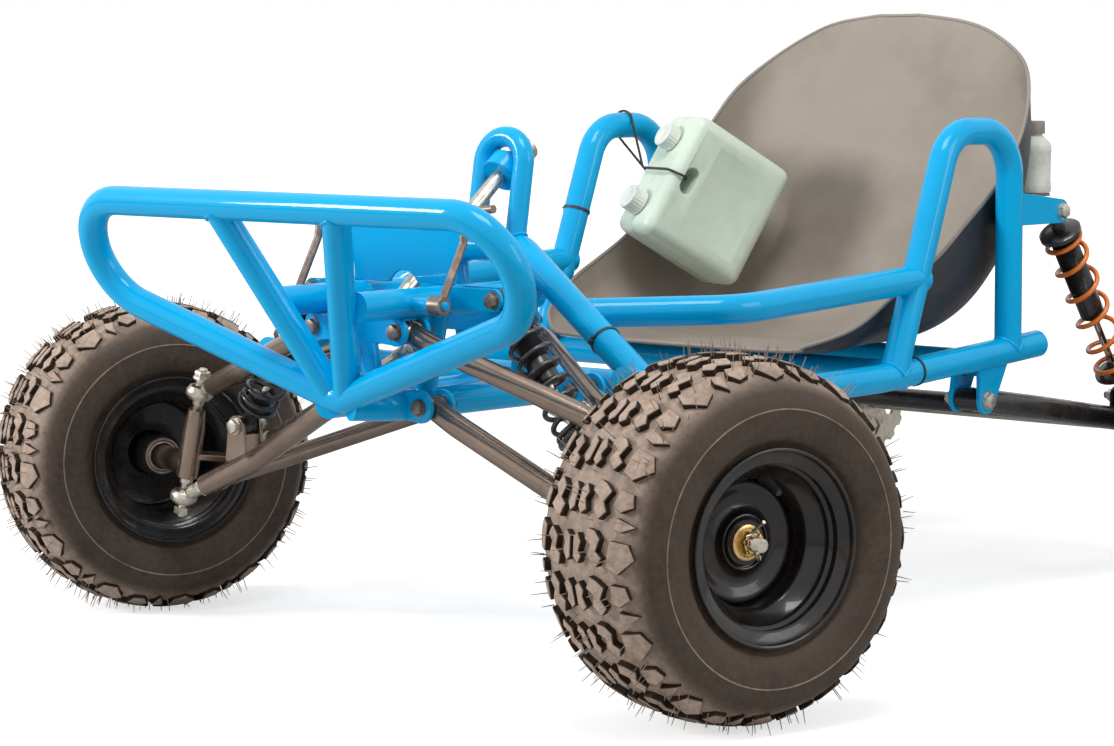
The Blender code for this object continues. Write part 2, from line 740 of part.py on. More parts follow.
def seat_back_y(x, z):
    """How far back the seat's middle surface lies at a place on its back."""
    grid = [seat_point(7 + i * 0.05, j * 0.005) for i in range(80) for j in range(60, 200)]
    return min(grid, key=lambda p: (p.x - x) ** 2 + (p.z - z) ** 2).y


def bottle_shelf():
    """A small shelf welded to the seat's back, under the bottle."""
    foot = Vector(BOTTLE_FOOT)
    z = foot.z - GAP - SHELF_THICKNESS / 2
    low, high = SHELF_X
    front = [(low + (high - low) * i / 4, seat_back_y(low + (high - low) * i / 4, z)) for i in range(5)]
    outline = front + [(high, foot.y + 0.018), (low, foot.y + 0.018)]
    shelf = slab(outline, SHELF_THICKNESS)
    shelf.transform(Matrix.Translation((0, 0, z)))
    return shelf


def make_seat():
    """A sheet metal bucket: cross sections lofted from the front lip to the top of the back."""
    form = bmesh.new()
    rows = []
    for station in range(len(SEAT_STATIONS)):
        rows.append([
            form.verts.new(seat_point(station, 2 * step / SEAT_ACROSS - 1)) for step in range(SEAT_ACROSS + 1)
        ])
    for lower, upper in zip(rows, rows[1:]):
        for i in range(SEAT_ACROSS):
            form.faces.new((lower[i], lower[i + 1], upper[i + 1], upper[i]))
    bmesh.ops.recalc_face_normals(form, faces=form.faces)
    mesh = bpy.data.meshes.new("seat")
    form.to_mesh(mesh)
    form.free()
    obj = bpy.data.objects.new("seat", mesh)
    bpy.context.scene.collection.objects.link(obj)
    solid = obj.modifiers.new("wall", "SOLIDIFY")
    solid.thickness = SEAT_WALL
    solid.offset = 0.0
    solid.use_even_offset = False
    bpy.context.view_layer.update()
    add("seat_shell", welded(tidy(mesh_of(obj)), bottle_shelf()), "seat_metal")


# Can and bottle

CAN_CENTRE = (-0.186, 0.782, 0.520)
CAN_HEIGHT = 0.172
CAN_WIDTH = 0.186
CAN_DEPTH = 0.095
CAN_SLOPE = math.radians(31)
CAN_TURN = math.radians(20)
CAN_NECK_RADIUS = 0.014
CAN_CAP_RADIUS = 0.0185
CAN_MAIN_NECK_V = 0.048
CAN_SPOUT_V = -0.054
CAN_GRIP_DEPTH = 0.030
CAN_GRIP_RADIUS = 0.011
CAN_TIE_DIAMETER = 0.004
BOTTLE_FOOT = (0.205, 1.022, 0.533)


def can_frame():
    """The can's own axes: Z out of the capped face, Y along it, X through the flat face."""
    face = Vector((math.cos(CAN_TURN), -math.sin(CAN_TURN), 0))
    level = Vector((math.sin(CAN_TURN), math.cos(CAN_TURN), 0))
    up = Vector((0, 0, 1))
    caps = -level * math.cos(CAN_SLOPE) + up * math.sin(CAN_SLOPE)
    return Matrix.Translation(CAN_CENTRE) @ Matrix((face, caps.cross(face), caps)).transposed().to_4x4()


def make_can():
    form = bmesh.new()
    bmesh.ops.create_cube(form, size=1.0)
    bmesh.ops.scale(form, vec=(CAN_DEPTH, CAN_WIDTH, CAN_HEIGHT), verts=form.verts)
    bmesh.ops.bevel(
        form, geom=form.edges[:], offset=0.020, affect="EDGES", segments=3, profile=0.5, material=-1,
    )
    body = bpy.data.meshes.new("can")
    form.to_mesh(body)
    form.free()
    top = CAN_HEIGHT / 2
    necks = [
        rod(CAN_NECK_RADIUS, (0, v, top - 0.010), (0, v, top + 0.014), 12)
        for v in (CAN_MAIN_NECK_V, CAN_SPOUT_V)
    ]
    grip = slab(
        arc((0.018, 0.0), CAN_GRIP_RADIUS, -90, 90, 5) + arc((-0.018, 0.0), CAN_GRIP_RADIUS, 90, 270, 5),
        CAN_DEPTH * 2,
    )
    grip.transform(
        Matrix.Translation((0, 0.0, top - CAN_GRIP_DEPTH))
        @ Matrix(((0, 0, 1, 0), (1, 0, 0, 0), (0, 1, 0, 0), (0, 0, 0, 1)))
    )
    body = cut(welded(body, *necks), tidy(grip))
    body.transform(can_frame())
    add("can_body", body, "can_plastic")
    for v, name, height in ((CAN_MAIN_NECK_V, "can_cap", 0.018), (CAN_SPOUT_V, "can_spout_cap", 0.022)):
        low = top + 0.002
        bore = clear_of(CAN_NECK_RADIUS + GAP, 10)
        end = top + 0.014 + GAP
        profile = [
            (0.0, low + height), (CAN_CAP_RADIUS - 0.002, low + height),
            (CAN_CAP_RADIUS, low + height - 0.002),
            (CAN_CAP_RADIUS, low), (bore, low), (bore, end), (0.0, end),
        ]
        cap = turned(profile, 10)
        cap.transform(can_frame() @ Matrix.Translation((0, v, 0)))
        add(name, cap, "cap_plastic", can_frame() @ Vector((0, v, low)))


def make_can_tie():
    """A cord round the hoop's top bar and through the can's grip."""
    clear = CAN_TIE_DIAMETER / 2 + GAP
    top = CAN_HEIGHT / 2
    side = CAN_DEPTH / 2
    under = top - CAN_GRIP_DEPTH + CAN_GRIP_RADIUS - clear
    over = top + clear + 0.003
    outboard = can_frame() @ Vector((-side - 0.006, 0, under))
    across = can_frame() @ Vector((-side + 0.012, 0, over))
    face_turn = 2 * math.pi / TUBE_SIDES
    ring = FRAME_OD / 2 + clear / math.cos(face_turn / 2)
    middle_y = HOOP_REAR_Y - HOOP_BEND_RADIUS - 0.008
    around = []
    for step in range(TUBE_SIDES // 2 + 1):
        angle = -0.75 * math.pi - face_turn * step
        around.append(Vector((
            -SIDE_X + ring * math.cos(angle), middle_y + 0.002 - 0.001 * step,
            HOOP_TOP_Z + ring * math.sin(angle),
        )))
    corners = [(side - 0.012, over), (side + 0.0065, top - 0.015), (side + 0.0025, under)]
    path = [outboard, *around, across, *(can_frame() @ Vector((x, 0, z)) for x, z in corners)]
    add("can_tie", tube(path, CAN_TIE_DIAMETER, closed=True, sides=6), "black_plastic")


def make_bottle():
    """A small breather bottle strapped behind the seat's back."""
    profile = [
        (0.0, 0.0), (0.023, 0.0), (0.0255, 0.003), (0.0255, 0.066), (0.017, 0.078), (0.013, 0.080),
        (0.013, 0.090), (0.0, 0.090),
    ]
    foot = Vector(BOTTLE_FOOT)
    bottle = turned(profile, 12)
    bottle.transform(Matrix.Translation(foot))
    add("breather_bottle", bottle, "cap_plastic")
    cap = turned([
        (0.0, 0.100), (0.015, 0.100), (0.0165, 0.098), (0.0165, 0.0815), (0.013 + GAP, 0.0815),
        (0.013 + GAP, 0.0903), (0.0, 0.0903),
    ], 12)
    cap.transform(Matrix.Translation(foot))
    add("breather_cap", cap, "dark_steel", foot)


# Front suspension

def kingpin_frame(side):
    """The kingpin's axes at the lower joint: Z up the pin."""
    lower, upper = side_x(LOWER_JOINT, side), side_x(UPPER_JOINT, side)
    return lower, (upper - lower).normalized(), (upper - lower).length


def eye(place, direction, bore):
    """A rod end's ring, its bore along a direction."""
    outer, half = EYE_OD / 2, EYE_LENGTH / 2
    corner = clear_of(bore, 12)
    return at(turned([(corner, -half), (outer, -half), (outer, half), (corner, half)], 12), place, direction)


def make_lower_arm(side, word):
    lower, pin, _ = kingpin_frame(side)
    front = side_x((LOWER_PIVOT_X, LOWER_FRONT_BUSH_Y, LOWER_PIVOT_Z), side)
    rear = side_x((LOWER_PIVOT_X, LOWER_REAR_BUSH_Y, LOWER_PIVOT_Z), side)
    reach = EYE_OD / 2 - 0.002
    bend = side_x((0.262, 0.004, 0.219), side)
    inward = (bend - lower).normalized()
    neck = lower + inward * reach
    sleeve = lower + inward * 0.045
    run_in = front + (bend - front).normalized() * 0.045
    run_in.y = front.y
    front_tube = tube(rounded_path([sleeve, bend, run_in, front], 0.10), LOWER_FRONT_OD)
    shank = rod(0.009, neck, sleeve + inward * 0.004, 8)
    rear_joint = lower + inward * 0.060
    run_in = rear + Vector((rear_joint.x - rear.x, 0, rear_joint.z - rear.z)).normalized() * 0.055
    rear_tube = tube(rounded_path([rear_joint, run_in, rear], 0.045), LOWER_REAR_OD)
    foot_x, foot_z = FRONT_SHOCK_FOOT
    plates = []
    outline = arc((0, 0), 0.014, 0, 180, 4) + [(-0.020, -0.052), (0.020, -0.045)]
    for offset in (-1, 1):
        plate = slab(outline, CLEVIS_PLATE)
        y = FRONT_SHOCK_Y + offset * (CLEVIS_GAP + CLEVIS_PLATE) / 2
        plate.transform(Matrix.Translation((foot_x, y, foot_z)) @ Matrix.Rotation(math.pi / 2, 4, "X"))
        plates.append(tidy(mirrored(plate, side)))
    base = bpy.data.meshes.new("base")
    form = bmesh.new()
    bmesh.ops.create_cube(form, size=1.0)
    width = CLEVIS_GAP + 2 * CLEVIS_PLATE
    bmesh.ops.scale(form, vec=(0.040, width, 0.008), verts=form.verts)
    form.to_mesh(base)
    form.free()
    base.transform(
        Matrix.Translation((foot_x + 0.001, FRONT_SHOCK_Y, foot_z - 0.046))
        @ Matrix.Rotation(math.radians(12), 4, "Y")
    )
    pin_bolt = rod(
        0.005, (side * foot_x, FRONT_SHOCK_Y - 0.026, foot_z), (side * foot_x, FRONT_SHOCK_Y + 0.026, foot_z),
        PIVOT_SIDES,
    )
    bushes = []
    holes = []
    for place in (front, rear):
        half = Vector((0, BUSH_LENGTH / 2, 0))
        bushes.append(rod(BUSH_OD / 2, place - half, place + half, 12))
        holes.append(rod(PIVOT_BORE, place - half * 2, place + half * 2, PIVOT_SIDES))
    body = welded(
        front_tube, rear_tube, shank, eye(lower, pin, BALL_RADIUS + RUNNING_GAP), *bushes, *plates,
        mirrored(base, side), pin_bolt,
    )
    add(word + "_lower_arm", cut(body, *holes), "dark_steel", front)


def make_upper_arm(side, word):
    _, pin, _ = kingpin_frame(side)
    upper = side_x(UPPER_JOINT, side)
    front = side_x((UPPER_PIVOT_X, UPPER_FRONT_BUSH_Y, UPPER_PIVOT_Z), side)
    rear = side_x((UPPER_PIVOT_X, UPPER_REAR_BUSH_Y, UPPER_PIVOT_Z), side)
    middle = (front + rear) / 2
    inward = (front - upper).normalized()
    level = Vector((upper.x - front.x, 0, upper.z - front.z)).normalized()
    sleeve = upper + inward * 0.034
    front_run_in = front + level * 0.045
    rear_run_in = rear + level * 0.050
    knee = rear + level * (abs(UPPER_KNEE_X - UPPER_PIVOT_X) / abs(level.x))
    knee.y = UPPER_KNEE_Y
    parts = [
        tube(rounded_path([sleeve, front_run_in, front], 0.10), UPPER_ARM_OD),
        rod(0.007, upper + inward * (EYE_OD / 2 - 0.002), sleeve + inward * 0.004, 8),
        tube(rounded_path([upper + inward * 0.045, knee, rear_run_in, rear], 0.045), UPPER_REAR_OD),
        eye(upper, pin, UPPER_STUD_RADIUS + UPPER_STUD_SLACK),
    ]
    holes = []
    for place in (front, rear):
        half = Vector((0, BUSH_LENGTH / 2, 0))
        parts.append(rod(BUSH_OD / 2, place - half, place + half, 12))
        holes.append(rod(PIVOT_BORE, place - half * 2, place + half * 2, PIVOT_SIDES))
    add(word + "_upper_arm", cut(welded(*parts), *holes), "dark_steel", middle)


def make_kingpin(side, word):
    """The pin between the two joints, with the lower ball, a collar, and a nut at each end."""
    lower, pin, length = kingpin_frame(side)
    r = KINGPIN_DIAMETER / 2
    ball = BALL_RADIUS
    profile = [
        (0.0, -0.026), (0.005, -0.026), (0.005, -0.024), (0.0095, -0.024), (0.0095, -0.0140),
        (0.005, -0.0140),
        (0.005, -0.0105),
    ]
    for step in range(-2, 3):
        angle = math.radians(step * 28)
        profile.append((ball * math.cos(angle), ball * math.sin(angle)))
    profile += [
        (r, 0.0105), (r, 0.0180), (0.0085, 0.0195), (0.0085, UPRIGHT_START - GAP), (r, UPRIGHT_START - GAP),
        (r, length - 0.018), (UPPER_STUD_RADIUS, length - 0.016), (UPPER_STUD_RADIUS, length + 0.017),
        (0.0060, length + 0.017), (0.0060, length + 0.019), (0.0095, length + 0.019),
        (0.0095, length + 0.027), (0.0055, length + 0.027), (0.0055, length + 0.033), (0.0, length + 0.033),
    ]
    body = turned(profile, 8)
    add(word + "_kingpin", at(body, lower, pin), "zinc_steel", lower)


def hub_axes(side, word, steer):
    """The empties that carry the upright and its wheel: the steered kingpin, then the hub."""
    lower, pin, _ = kingpin_frame(side)
    turn = Matrix.Rotation(steer, 4, pin)
    empty(word + "_steer_axis", Matrix.Translation(lower) @ turn, CHASSIS)
    hub = side_x((HUB_X, 0.0, HUB_Z), side) - lower
    empty(word + "_hub_axis", Matrix.Translation(hub), word + "_steer_axis")


def hub_distance(side):
    """How far the kingpin's axis lies from the hub's middle, at the hub's height."""
    lower, pin, _ = kingpin_frame(side)
    crossing = lower + pin * ((HUB_Z - lower.z) / pin.z)
    return HUB_X - abs(crossing.x), crossing - lower


def make_upright(side, word):
    """The steered tube round the kingpin, with the stub axle and the steering arm welded to it."""
    _, pin, _ = kingpin_frame(side)
    distance, crossing = hub_distance(side)
    out = Vector((side, 0, 0))
    sleeve = rod(UPRIGHT_OD / 2, pin * UPRIGHT_START, pin * UPRIGHT_END, 12)
    collar = rod(UPRIGHT_OD / 2 + 0.004, pin * 0.036, pin * 0.066, 12)
    stub = rod(STUB_RADIUS, crossing, crossing + out * (distance + HUB_TUBE_HALF + 0.006), 12)
    thread = rod(0.0075, crossing, crossing + out * (distance + HUB_TUBE_HALF + 0.030), 8)
    shoulder = rod(0.015, crossing, crossing + out * (distance - HUB_TUBE_HALF - GAP), 12)
    arm_root, along, normal = steer_arm_axes(side)
    tip = arm_root + along * STEER_ARM_LENGTH
    arm = slab(
        arc((STEER_ARM_LENGTH, 0), STEER_ARM_WIDTH / 2, -90, 90, 6)
        + [(0.0, STEER_ARM_WIDTH / 2), (0.0, -STEER_ARM_WIDTH / 2)], STEER_ARM_THICKNESS,
    )
    across = normal.cross(along)
    arm.transform(Matrix.Translation(arm_root) @ Matrix((along, across, normal)).transposed().to_4x4())
    body = welded(sleeve, collar, stub, thread, shoulder, tidy(arm))
    bore = rod(clear_of(KINGPIN_DIAMETER / 2 + RUNNING_GAP, 10), pin * -0.02, pin * 0.16, 10)
    stud_hole = rod(clear_of(0.004 + RUNNING_GAP, 8), tip - normal * 0.01, tip + normal * 0.01, 8)
    add(word + "_upright", cut(body, bore, stud_hole), "dark_steel", (0, 0, 0), word + "_steer_axis")


def steer_arm_axes(side):
    """The steering arm's root, its direction and its upward normal, with the wheel straight ahead."""
    _, pin, _ = kingpin_frame(side)
    root = pin * ((STEER_ARM_Z - LOWER_JOINT[2]) / pin.z)
    inset = Vector((-side * math.sin(STEER_ARM_INSET), math.cos(STEER_ARM_INSET), 0))
    flat = (inset - pin * inset.dot(pin)).normalized()
    along = flat * math.cos(STEER_ARM_PITCH) + pin * math.sin(STEER_ARM_PITCH)
    normal = pin * math.cos(STEER_ARM_PITCH) - flat * math.sin(STEER_ARM_PITCH)
    return root, along, normal


def rim_mesh(bore):
    """A wheel rim: lips, bead seats, a drop centre, a web and the hub tube, turned as one."""
    t = RIM_WALL
    half, lip = RIM_HALF_WIDTH, RIM_LIP_RADIUS
    seat, well = BEAD_RADIUS, RIM_WELL_RADIUS
    outside = [
        (lip, -half), (lip, -half + t), (seat, -half + 0.006), (well, -0.050),
        (well, 0.050), (seat, half - 0.006), (lip, half - t), (lip, half),
    ]
    inner_seat, inner_well = seat - t, well - t
    web_out, web_in = WEB_OFFSET + t / 2 + 0.001, WEB_OFFSET - t / 2 - 0.001
    inside = [
        (inner_seat, half - 0.003), (inner_well, 0.052), (inner_well, web_out),
        (HUB_TUBE_RADIUS, web_out), (HUB_TUBE_RADIUS, HUB_TUBE_HALF),
        (bore, HUB_TUBE_HALF), (bore, -HUB_TUBE_HALF), (HUB_TUBE_RADIUS, -HUB_TUBE_HALF),
        (HUB_TUBE_RADIUS, web_in), (inner_well, web_in), (inner_well, -0.052),
        (inner_seat, -half + 0.003),
    ]
    return turned(outside + inside, WHEEL_SEGMENTS)


def tyre_mesh():
    """A tyre carcass from bead to bead, with its tread blocks pushed out of the crown."""
    crown = TYRE_RADIUS - LUG_HEIGHT
    bead = BEAD_RADIUS + GAP
    lip_side = RIM_HALF_WIDTH - 0.0062 - GAP
    half = TYRE_HALF_WIDTH
    outer_half = [
        (bead, lip_side), (RIM_LIP_RADIUS + 0.003, lip_side), (0.135, half), (0.172, half - 0.003),
        (crown - 0.005, 0.076),
    ]
    inner_half = [(crown - 0.011, 0.066), (0.150, half - 0.0085), (bead, 0.064)]
    outer = outer_half + [(crown, 0.0)] + [(r, -a) for r, a in outer_half[::-1]]
    inner = [(r, -a) for r, a in inner_half[::-1]] + inner_half
    mesh = turned(outer + inner, WHEEL_SEGMENTS)
    form = bmesh.new()
    form.from_mesh(mesh)
    step = 2 * math.pi / WHEEL_SEGMENTS
    blocks = []
    for face in form.faces:
        middle = face.calc_center_median()
        radius = math.hypot(middle.x, middle.y)
        if radius < 0.168 or face.normal.dot(Vector((middle.x, middle.y, 0))) <= 0:
            continue
        index = int(math.floor(math.atan2(middle.y, middle.x) / step + 0.001)) % 2
        shoulder = abs(middle.z) > 0.060
        if (shoulder == (middle.z > 0)) == (index == 0):
            blocks.append(face)
    for face in blocks:
        made = bmesh.ops.extrude_face_region(form, geom=[face])
        raised = [item for item in made["geom"] if isinstance(item, bmesh.types.BMVert)]
        centre = sum((vert.co for vert in raised), Vector()) / len(raised)
        for vert in raised:
            vert.co = centre.lerp(vert.co, LUG_TAPER)
            outward = Vector((vert.co.x, vert.co.y, 0)).normalized()
            reach = math.hypot(vert.co.x, vert.co.y)
            lift = LUG_HEIGHT if reach > 0.180 else 0.002
            vert.co += outward * lift
    bmesh.ops.delete(form, geom=[f for f in blocks if f.is_valid], context="FACES_ONLY")
    bmesh.ops.recalc_face_normals(form, faces=form.faces)
    form.to_mesh(mesh)
    form.free()
    return mesh


def lay_wheel(mesh, place, side):
    """Lays a wheel piece made about Z on its axle, its outer face away from the kart."""
    mesh.transform(Matrix.Translation(place) @ Matrix.Rotation(side * math.pi / 2, 4, "Y"))
    return mesh


def make_front_wheel(side, word):
    parent = word + "_hub_axis"
    bore = clear_of(STUB_RADIUS + RUNNING_GAP, WHEEL_SEGMENTS)
    add(word + "_front_rim", lay_wheel(rim_mesh(bore), (0, 0, 0), side), "black_paint",
        (0, 0, 0), parent)
    add(word + "_front_tyre", lay_wheel(tyre_mesh(), (0, 0, 0), side), "tyre_rubber", (0, 0, 0), parent)
    start = HUB_TUBE_HALF + GAP
    thread = clear_of(0.0075 + GAP, 10)
    shank = clear_of(STUB_RADIUS + GAP, 10)
    profile = [
        (thread, start + 0.0065), (shank, start + 0.0065), (shank, start), (BEARING_RADIUS, start),
        (BEARING_RADIUS, start + 0.004), (0.014, start + 0.007), (0.014, start + 0.018),
        (thread, start + 0.018),
    ]
    add(word + "_hub_nut", lay_wheel(turned(profile, 10), (0, 0, 0), side), "yellow_zinc", (0, 0, 0), parent)


# Shock absorbers

def shock_pieces(length, body_end, bore_top, rod_start, perch_top, perch_low, spring_radius, wire, turns):
    """Body, rod and spring of a shock absorber, from its top eye at the origin down along Z."""
    body_r = spring_radius - wire - 0.004
    eye_r = 0.0125
    perch_r = spring_radius + 0.001
    body = turned([
        (0.0, 0.006), (0.008, 0.006), (0.008, perch_top - 0.008), (perch_r, perch_top - 0.005),
        (perch_r, perch_top), (body_r, perch_top), (body_r, body_end - 0.003), (body_r - 0.003, body_end),
        (0.0058, body_end), (0.0058, bore_top), (0.0, bore_top),
    ], 10)
    ring = rod(eye_r, (0, -CLEVIS_GAP / 2 + GAP, 0), (0, CLEVIS_GAP / 2 - GAP, 0), 10)
    hole = rod(PIVOT_BORE, (0, -0.03, 0), (0, 0.03, 0), PIVOT_SIDES)
    body = cut(welded(body, ring), hole)
    piston = turned([
        (0.0, rod_start), (0.005, rod_start), (0.005, perch_low), (perch_r, perch_low),
        (perch_r, perch_low + 0.004), (0.011, perch_low + 0.009), (0.009, length - 0.006),
        (0.0, length - 0.006),
    ], 10)
    foot_ring = rod(eye_r, (0, -CLEVIS_GAP / 2 + GAP, length), (0, CLEVIS_GAP / 2 - GAP, length), 10)
    foot_hole = rod(PIVOT_BORE, (0, -0.03, length), (0, 0.03, length), PIVOT_SIDES)
    piston = cut(welded(piston, foot_ring), foot_hole)
    start, end = perch_top + wire / 2 + GAP, perch_low - wire / 2 - GAP
    return body, piston, spring_mesh(start, end, spring_radius - wire / 2, wire, turns)


def spring_mesh(start, end, radius, wire, turns):
    """One unbroken coil whose last turn at each end lies closed against its seat."""
    points_per_turn = 8
    count = turns * points_per_turn
    seat = 0.75
    rise = (end - start) / (turns - 2 * seat + 2 * seat * 0.42)
    path = []
    height = start
    for i in range(count + 1):
        angle = 2 * math.pi * i / points_per_turn
        path.append(Vector((radius * math.cos(angle), radius * math.sin(angle), height)))
        along = i / points_per_turn
        rate = 0.42 if along < seat or along >= turns - seat else 1.0
        height += rise * rate / points_per_turn
    least = min(
        (a - b).length - wire
        for i, a in enumerate(path) for j, b in enumerate(path) if j - i > points_per_turn - 2
    )
    print("spring of", turns, "turns, least gap", round(least * 1000, 2), "mm")
    return tube(path, wire, sides=6)


def lay_shock(mesh, top, foot, width_axis):
    """Lays a shock piece between its two bolts, its eyes along the given axis."""
    along = (foot - top).normalized()
    across = Vector(width_axis)
    mesh.transform(
        Matrix.Translation(top) @ Matrix((across.cross(along), across, along)).transposed().to_4x4()
    )
    return mesh


def make_front_shock(side, word):
    top = Vector((side * FRONT_SHOCK_TOP[0], FRONT_SHOCK_Y, FRONT_SHOCK_TOP[1]))
    foot = Vector((side * FRONT_SHOCK_FOOT[0], FRONT_SHOCK_Y, FRONT_SHOCK_FOOT[1]))
    length = (foot - top).length
    pieces = shock_pieces(length, 0.122, 0.045, 0.098, 0.032, length - 0.040, 0.026, 0.0065, 8)
    names = ("_shock_body", "_shock_rod", "_shock_spring")
    finishes = ("black_paint", "chrome", "black_spring")
    pivots = (top, foot, top)
    for mesh, name, finish, pivot in zip(pieces, names, finishes, pivots):
        add(word + "_front" + name, lay_shock(mesh, top, foot, (0, 1, 0)), finish, pivot)


def make_rear_shock(side, word):
    top = Vector((side * SWING_SIDE_X, *REAR_SHOCK_TOP))
    foot = Vector((side * SWING_SIDE_X, *REAR_SHOCK_FOOT))
    length = (foot - top).length
    pieces = shock_pieces(length, 0.180, 0.055, 0.150, 0.040, length - 0.048, 0.028, 0.007, 6)
    names = ("_shock_body", "_shock_rod", "_shock_spring")
    finishes = ("black_paint", "chrome", "orange_spring")
    pivots = (top, foot, top)
    for mesh, name, finish, pivot in zip(pieces, names, finishes, pivots):
        add(word + "_rear" + name, lay_shock(mesh, top, foot, (1, 0, 0)), finish, pivot)


# Steering

def column_foot():
    return Vector((0, *COLUMN_PASS)) - column_direction() * 0.035


def pitman_end():
    along = column_direction()
    down = Vector((0, along.z, -along.y))
    turned_down = down * math.cos(COLUMN_TURN) + Vector((1, 0, 0)) * math.sin(COLUMN_TURN)
    return column_foot() + turned_down * PITMAN_LENGTH


def make_column():
    """The column, its wheel boss at the top and its drop arm at the foot."""
    along = column_direction()
    foot = column_foot()
    top = Vector((0, *COLUMN_BEARING)) + along * 0.042
    shaft = rod(COLUMN_RADIUS, foot, top, 12)
    boss = rod(0.020, top - along * 0.004, top + along * 0.005, 16)
    end = pitman_end()
    reach = (end - foot).normalized()
    arm = slab(
        arc((PITMAN_LENGTH, 0), 0.009, -90, 90, 6) + arc((0, 0), 0.013, 90, 270, 6), 0.006,
    )
    across = along.cross(reach)
    arm.transform(Matrix.Translation(foot) @ Matrix((reach, across, along)).transposed().to_4x4())
    hole = rod(clear_of(0.004 + RUNNING_GAP, 8), end - along * 0.02, end + along * 0.02, 8)
    add("steering_column", cut(welded(shaft, boss, tidy(arm)), hole), "zinc_steel", foot)


def link_centre():
    return pitman_end() + column_direction() * (0.003 + 0.005 + GAP)


def make_centre_link():
    """The short bar on the drop arm that pushes both tie rods."""
    along = column_direction()
    middle = link_centre()
    form = bmesh.new()
    bmesh.ops.create_cube(form, size=1.0)
    bmesh.ops.scale(form, vec=(2 * LINK_HALF, 0.016, 0.010), verts=form.verts)
    bar = bpy.data.meshes.new("link")
    form.to_mesh(bar)
    form.free()
    across = along.cross(Vector((1, 0, 0)))
    turn = Matrix((Vector((1, 0, 0)), across, along)).transposed().to_4x4()
    bar.transform(Matrix.Translation(middle) @ turn)
    pin = rod(0.004, middle, pitman_end() - along * 0.006, 8)
    add("steering_centre_link", welded(tidy(bar), pin), "zinc_steel", pitman_end())


def stud_axis(side, steer):
    """The ball stud's axis as it stands at rest."""
    _, pin, _ = kingpin_frame(side)
    return Matrix.Rotation(steer, 3, pin) @ steer_arm_axes(side)[2]


def tie_rod_head(side, steer):
    """The middle of the ball above the steering arm's tip."""
    lower, pin, _ = kingpin_frame(side)
    root, along, normal = steer_arm_axes(side)
    reach = root + along * STEER_ARM_LENGTH + normal * BALL_STUD_HEIGHT
    return lower + Matrix.Rotation(steer, 3, pin) @ reach


def make_tie_rod(side, word, steer):
    """The ball stud bolted through the steering arm, and the rod from it to the centre link."""
    pin = stud_axis(side, steer)
    head = tie_rod_head(side, steer)
    seat = STEER_ARM_THICKNESS / 2 + GAP - BALL_STUD_HEIGHT
    under = -STEER_ARM_THICKNESS / 2 - GAP - BALL_STUD_HEIGHT
    ball = BALL_STUD_RADIUS
    profile = [
        (0.0, under - 0.006), (0.0075, under - 0.006), (0.0075, under), (0.004, under), (0.004, seat),
        (0.0065, seat), (0.0042, seat + 0.004), (0.0042, -ball * 0.8), (ball, -ball * 0.2),
        (ball, ball * 0.2), (ball * 0.45, ball * 0.85), (0.0, ball * 0.85),
    ]
    add(word + "_tie_rod_stud", at(turned(profile, 8), head, pin), "zinc_steel", head)
    middle = link_centre()
    inner = Vector((middle.x + side * (LINK_HALF + TIE_ROD_GAP), middle.y, middle.z))
    inward = (inner - head).normalized()
    ring_r = 0.0125
    body = welded(
        at(rod(ring_r, (0, 0, -0.0045), (0, 0, 0.0045), 12), head, pin),
        rod(TIE_ROD_RADIUS, head + inward * (ring_r - 0.002), inner, 10),
        rod(0.0085, inner - inward * 0.030, inner + inward * 0.001, 8),
    )
    hole = at(rod(clear_of(ball + RUNNING_GAP, 12), (0, 0, -0.02), (0, 0, 0.02), 12), head, pin)
    flat = bpy.data.meshes.new("flat")
    form = bmesh.new()
    bmesh.ops.create_cube(form, size=0.05)
    form.to_mesh(flat)
    form.free()
    flat.transform(Matrix.Translation(inner - Vector((side * 0.025, 0, 0))))
    add(word + "_tie_rod", cut(body, hole, flat), "zinc_steel", head)


# Rear end

def make_swing_arm():
    parts = []
    holes = []
    for side in (1, -1):
        pivot = side_x(SWING_PIVOT, side)
        knee = Vector((side * SWING_SIDE_X, SWING_PIVOT[1] + 0.12, SWING_PIVOT[2] - 0.019))
        axle = Vector((side * SWING_SIDE_X, AXLE_Y, AXLE_Z))
        parts.append(tube(rounded_path([pivot, knee, axle], 0.1), SWING_OD))
        half = Vector((BUSH_LENGTH / 2 + 0.004, 0, 0))
        parts.append(rod(0.015, pivot - half, pivot + half, 12))
        parts.append(rod(0.026, axle - Vector((0.015, 0, 0)), axle + Vector((0.015, 0, 0)), 12))
        holes.append(rod(clear_of(0.006 + RUNNING_GAP, 8), pivot - half * 2, pivot + half * 2, 8))
        holes.append(rod(
            clear_of(REAR_AXLE_RADIUS + RUNNING_GAP, 12),
            axle - Vector((0.03, 0, 0)), axle + Vector((0.03, 0, 0)), 12,
        ))
        foot_y, foot_z = REAR_SHOCK_FOOT
        for offset in (-1, 1):
            root = (foot_y + 0.004, foot_z - 0.040)
            plate_x = side * (SWING_SIDE_X + offset * (CLEVIS_GAP + CLEVIS_PLATE) / 2)
            parts.append(ear_plate_x((plate_x, foot_y, foot_z), 0.014, root, 0.040, CLEVIS_PLATE))
        parts.append(rod(
            0.005, (side * (SWING_SIDE_X - 0.020), foot_y, foot_z),
            (side * (SWING_SIDE_X + 0.020), foot_y, foot_z), PIVOT_SIDES,
        ))
    knee_y, knee_z = SWING_PIVOT[1] + 0.12, SWING_PIVOT[2] - 0.019
    brace_z = AXLE_Z + (knee_z - AXLE_Z) * (AXLE_Y - SWING_BRACE_Y) / (AXLE_Y - knee_y)
    parts.append(cross_tube(SWING_BRACE_Y, brace_z, -0.004, SWING_SIDE_X))
    add("swing_arm", cut(welded(*parts), *holes), "black_paint", (0, SWING_PIVOT[1], SWING_PIVOT[2]))


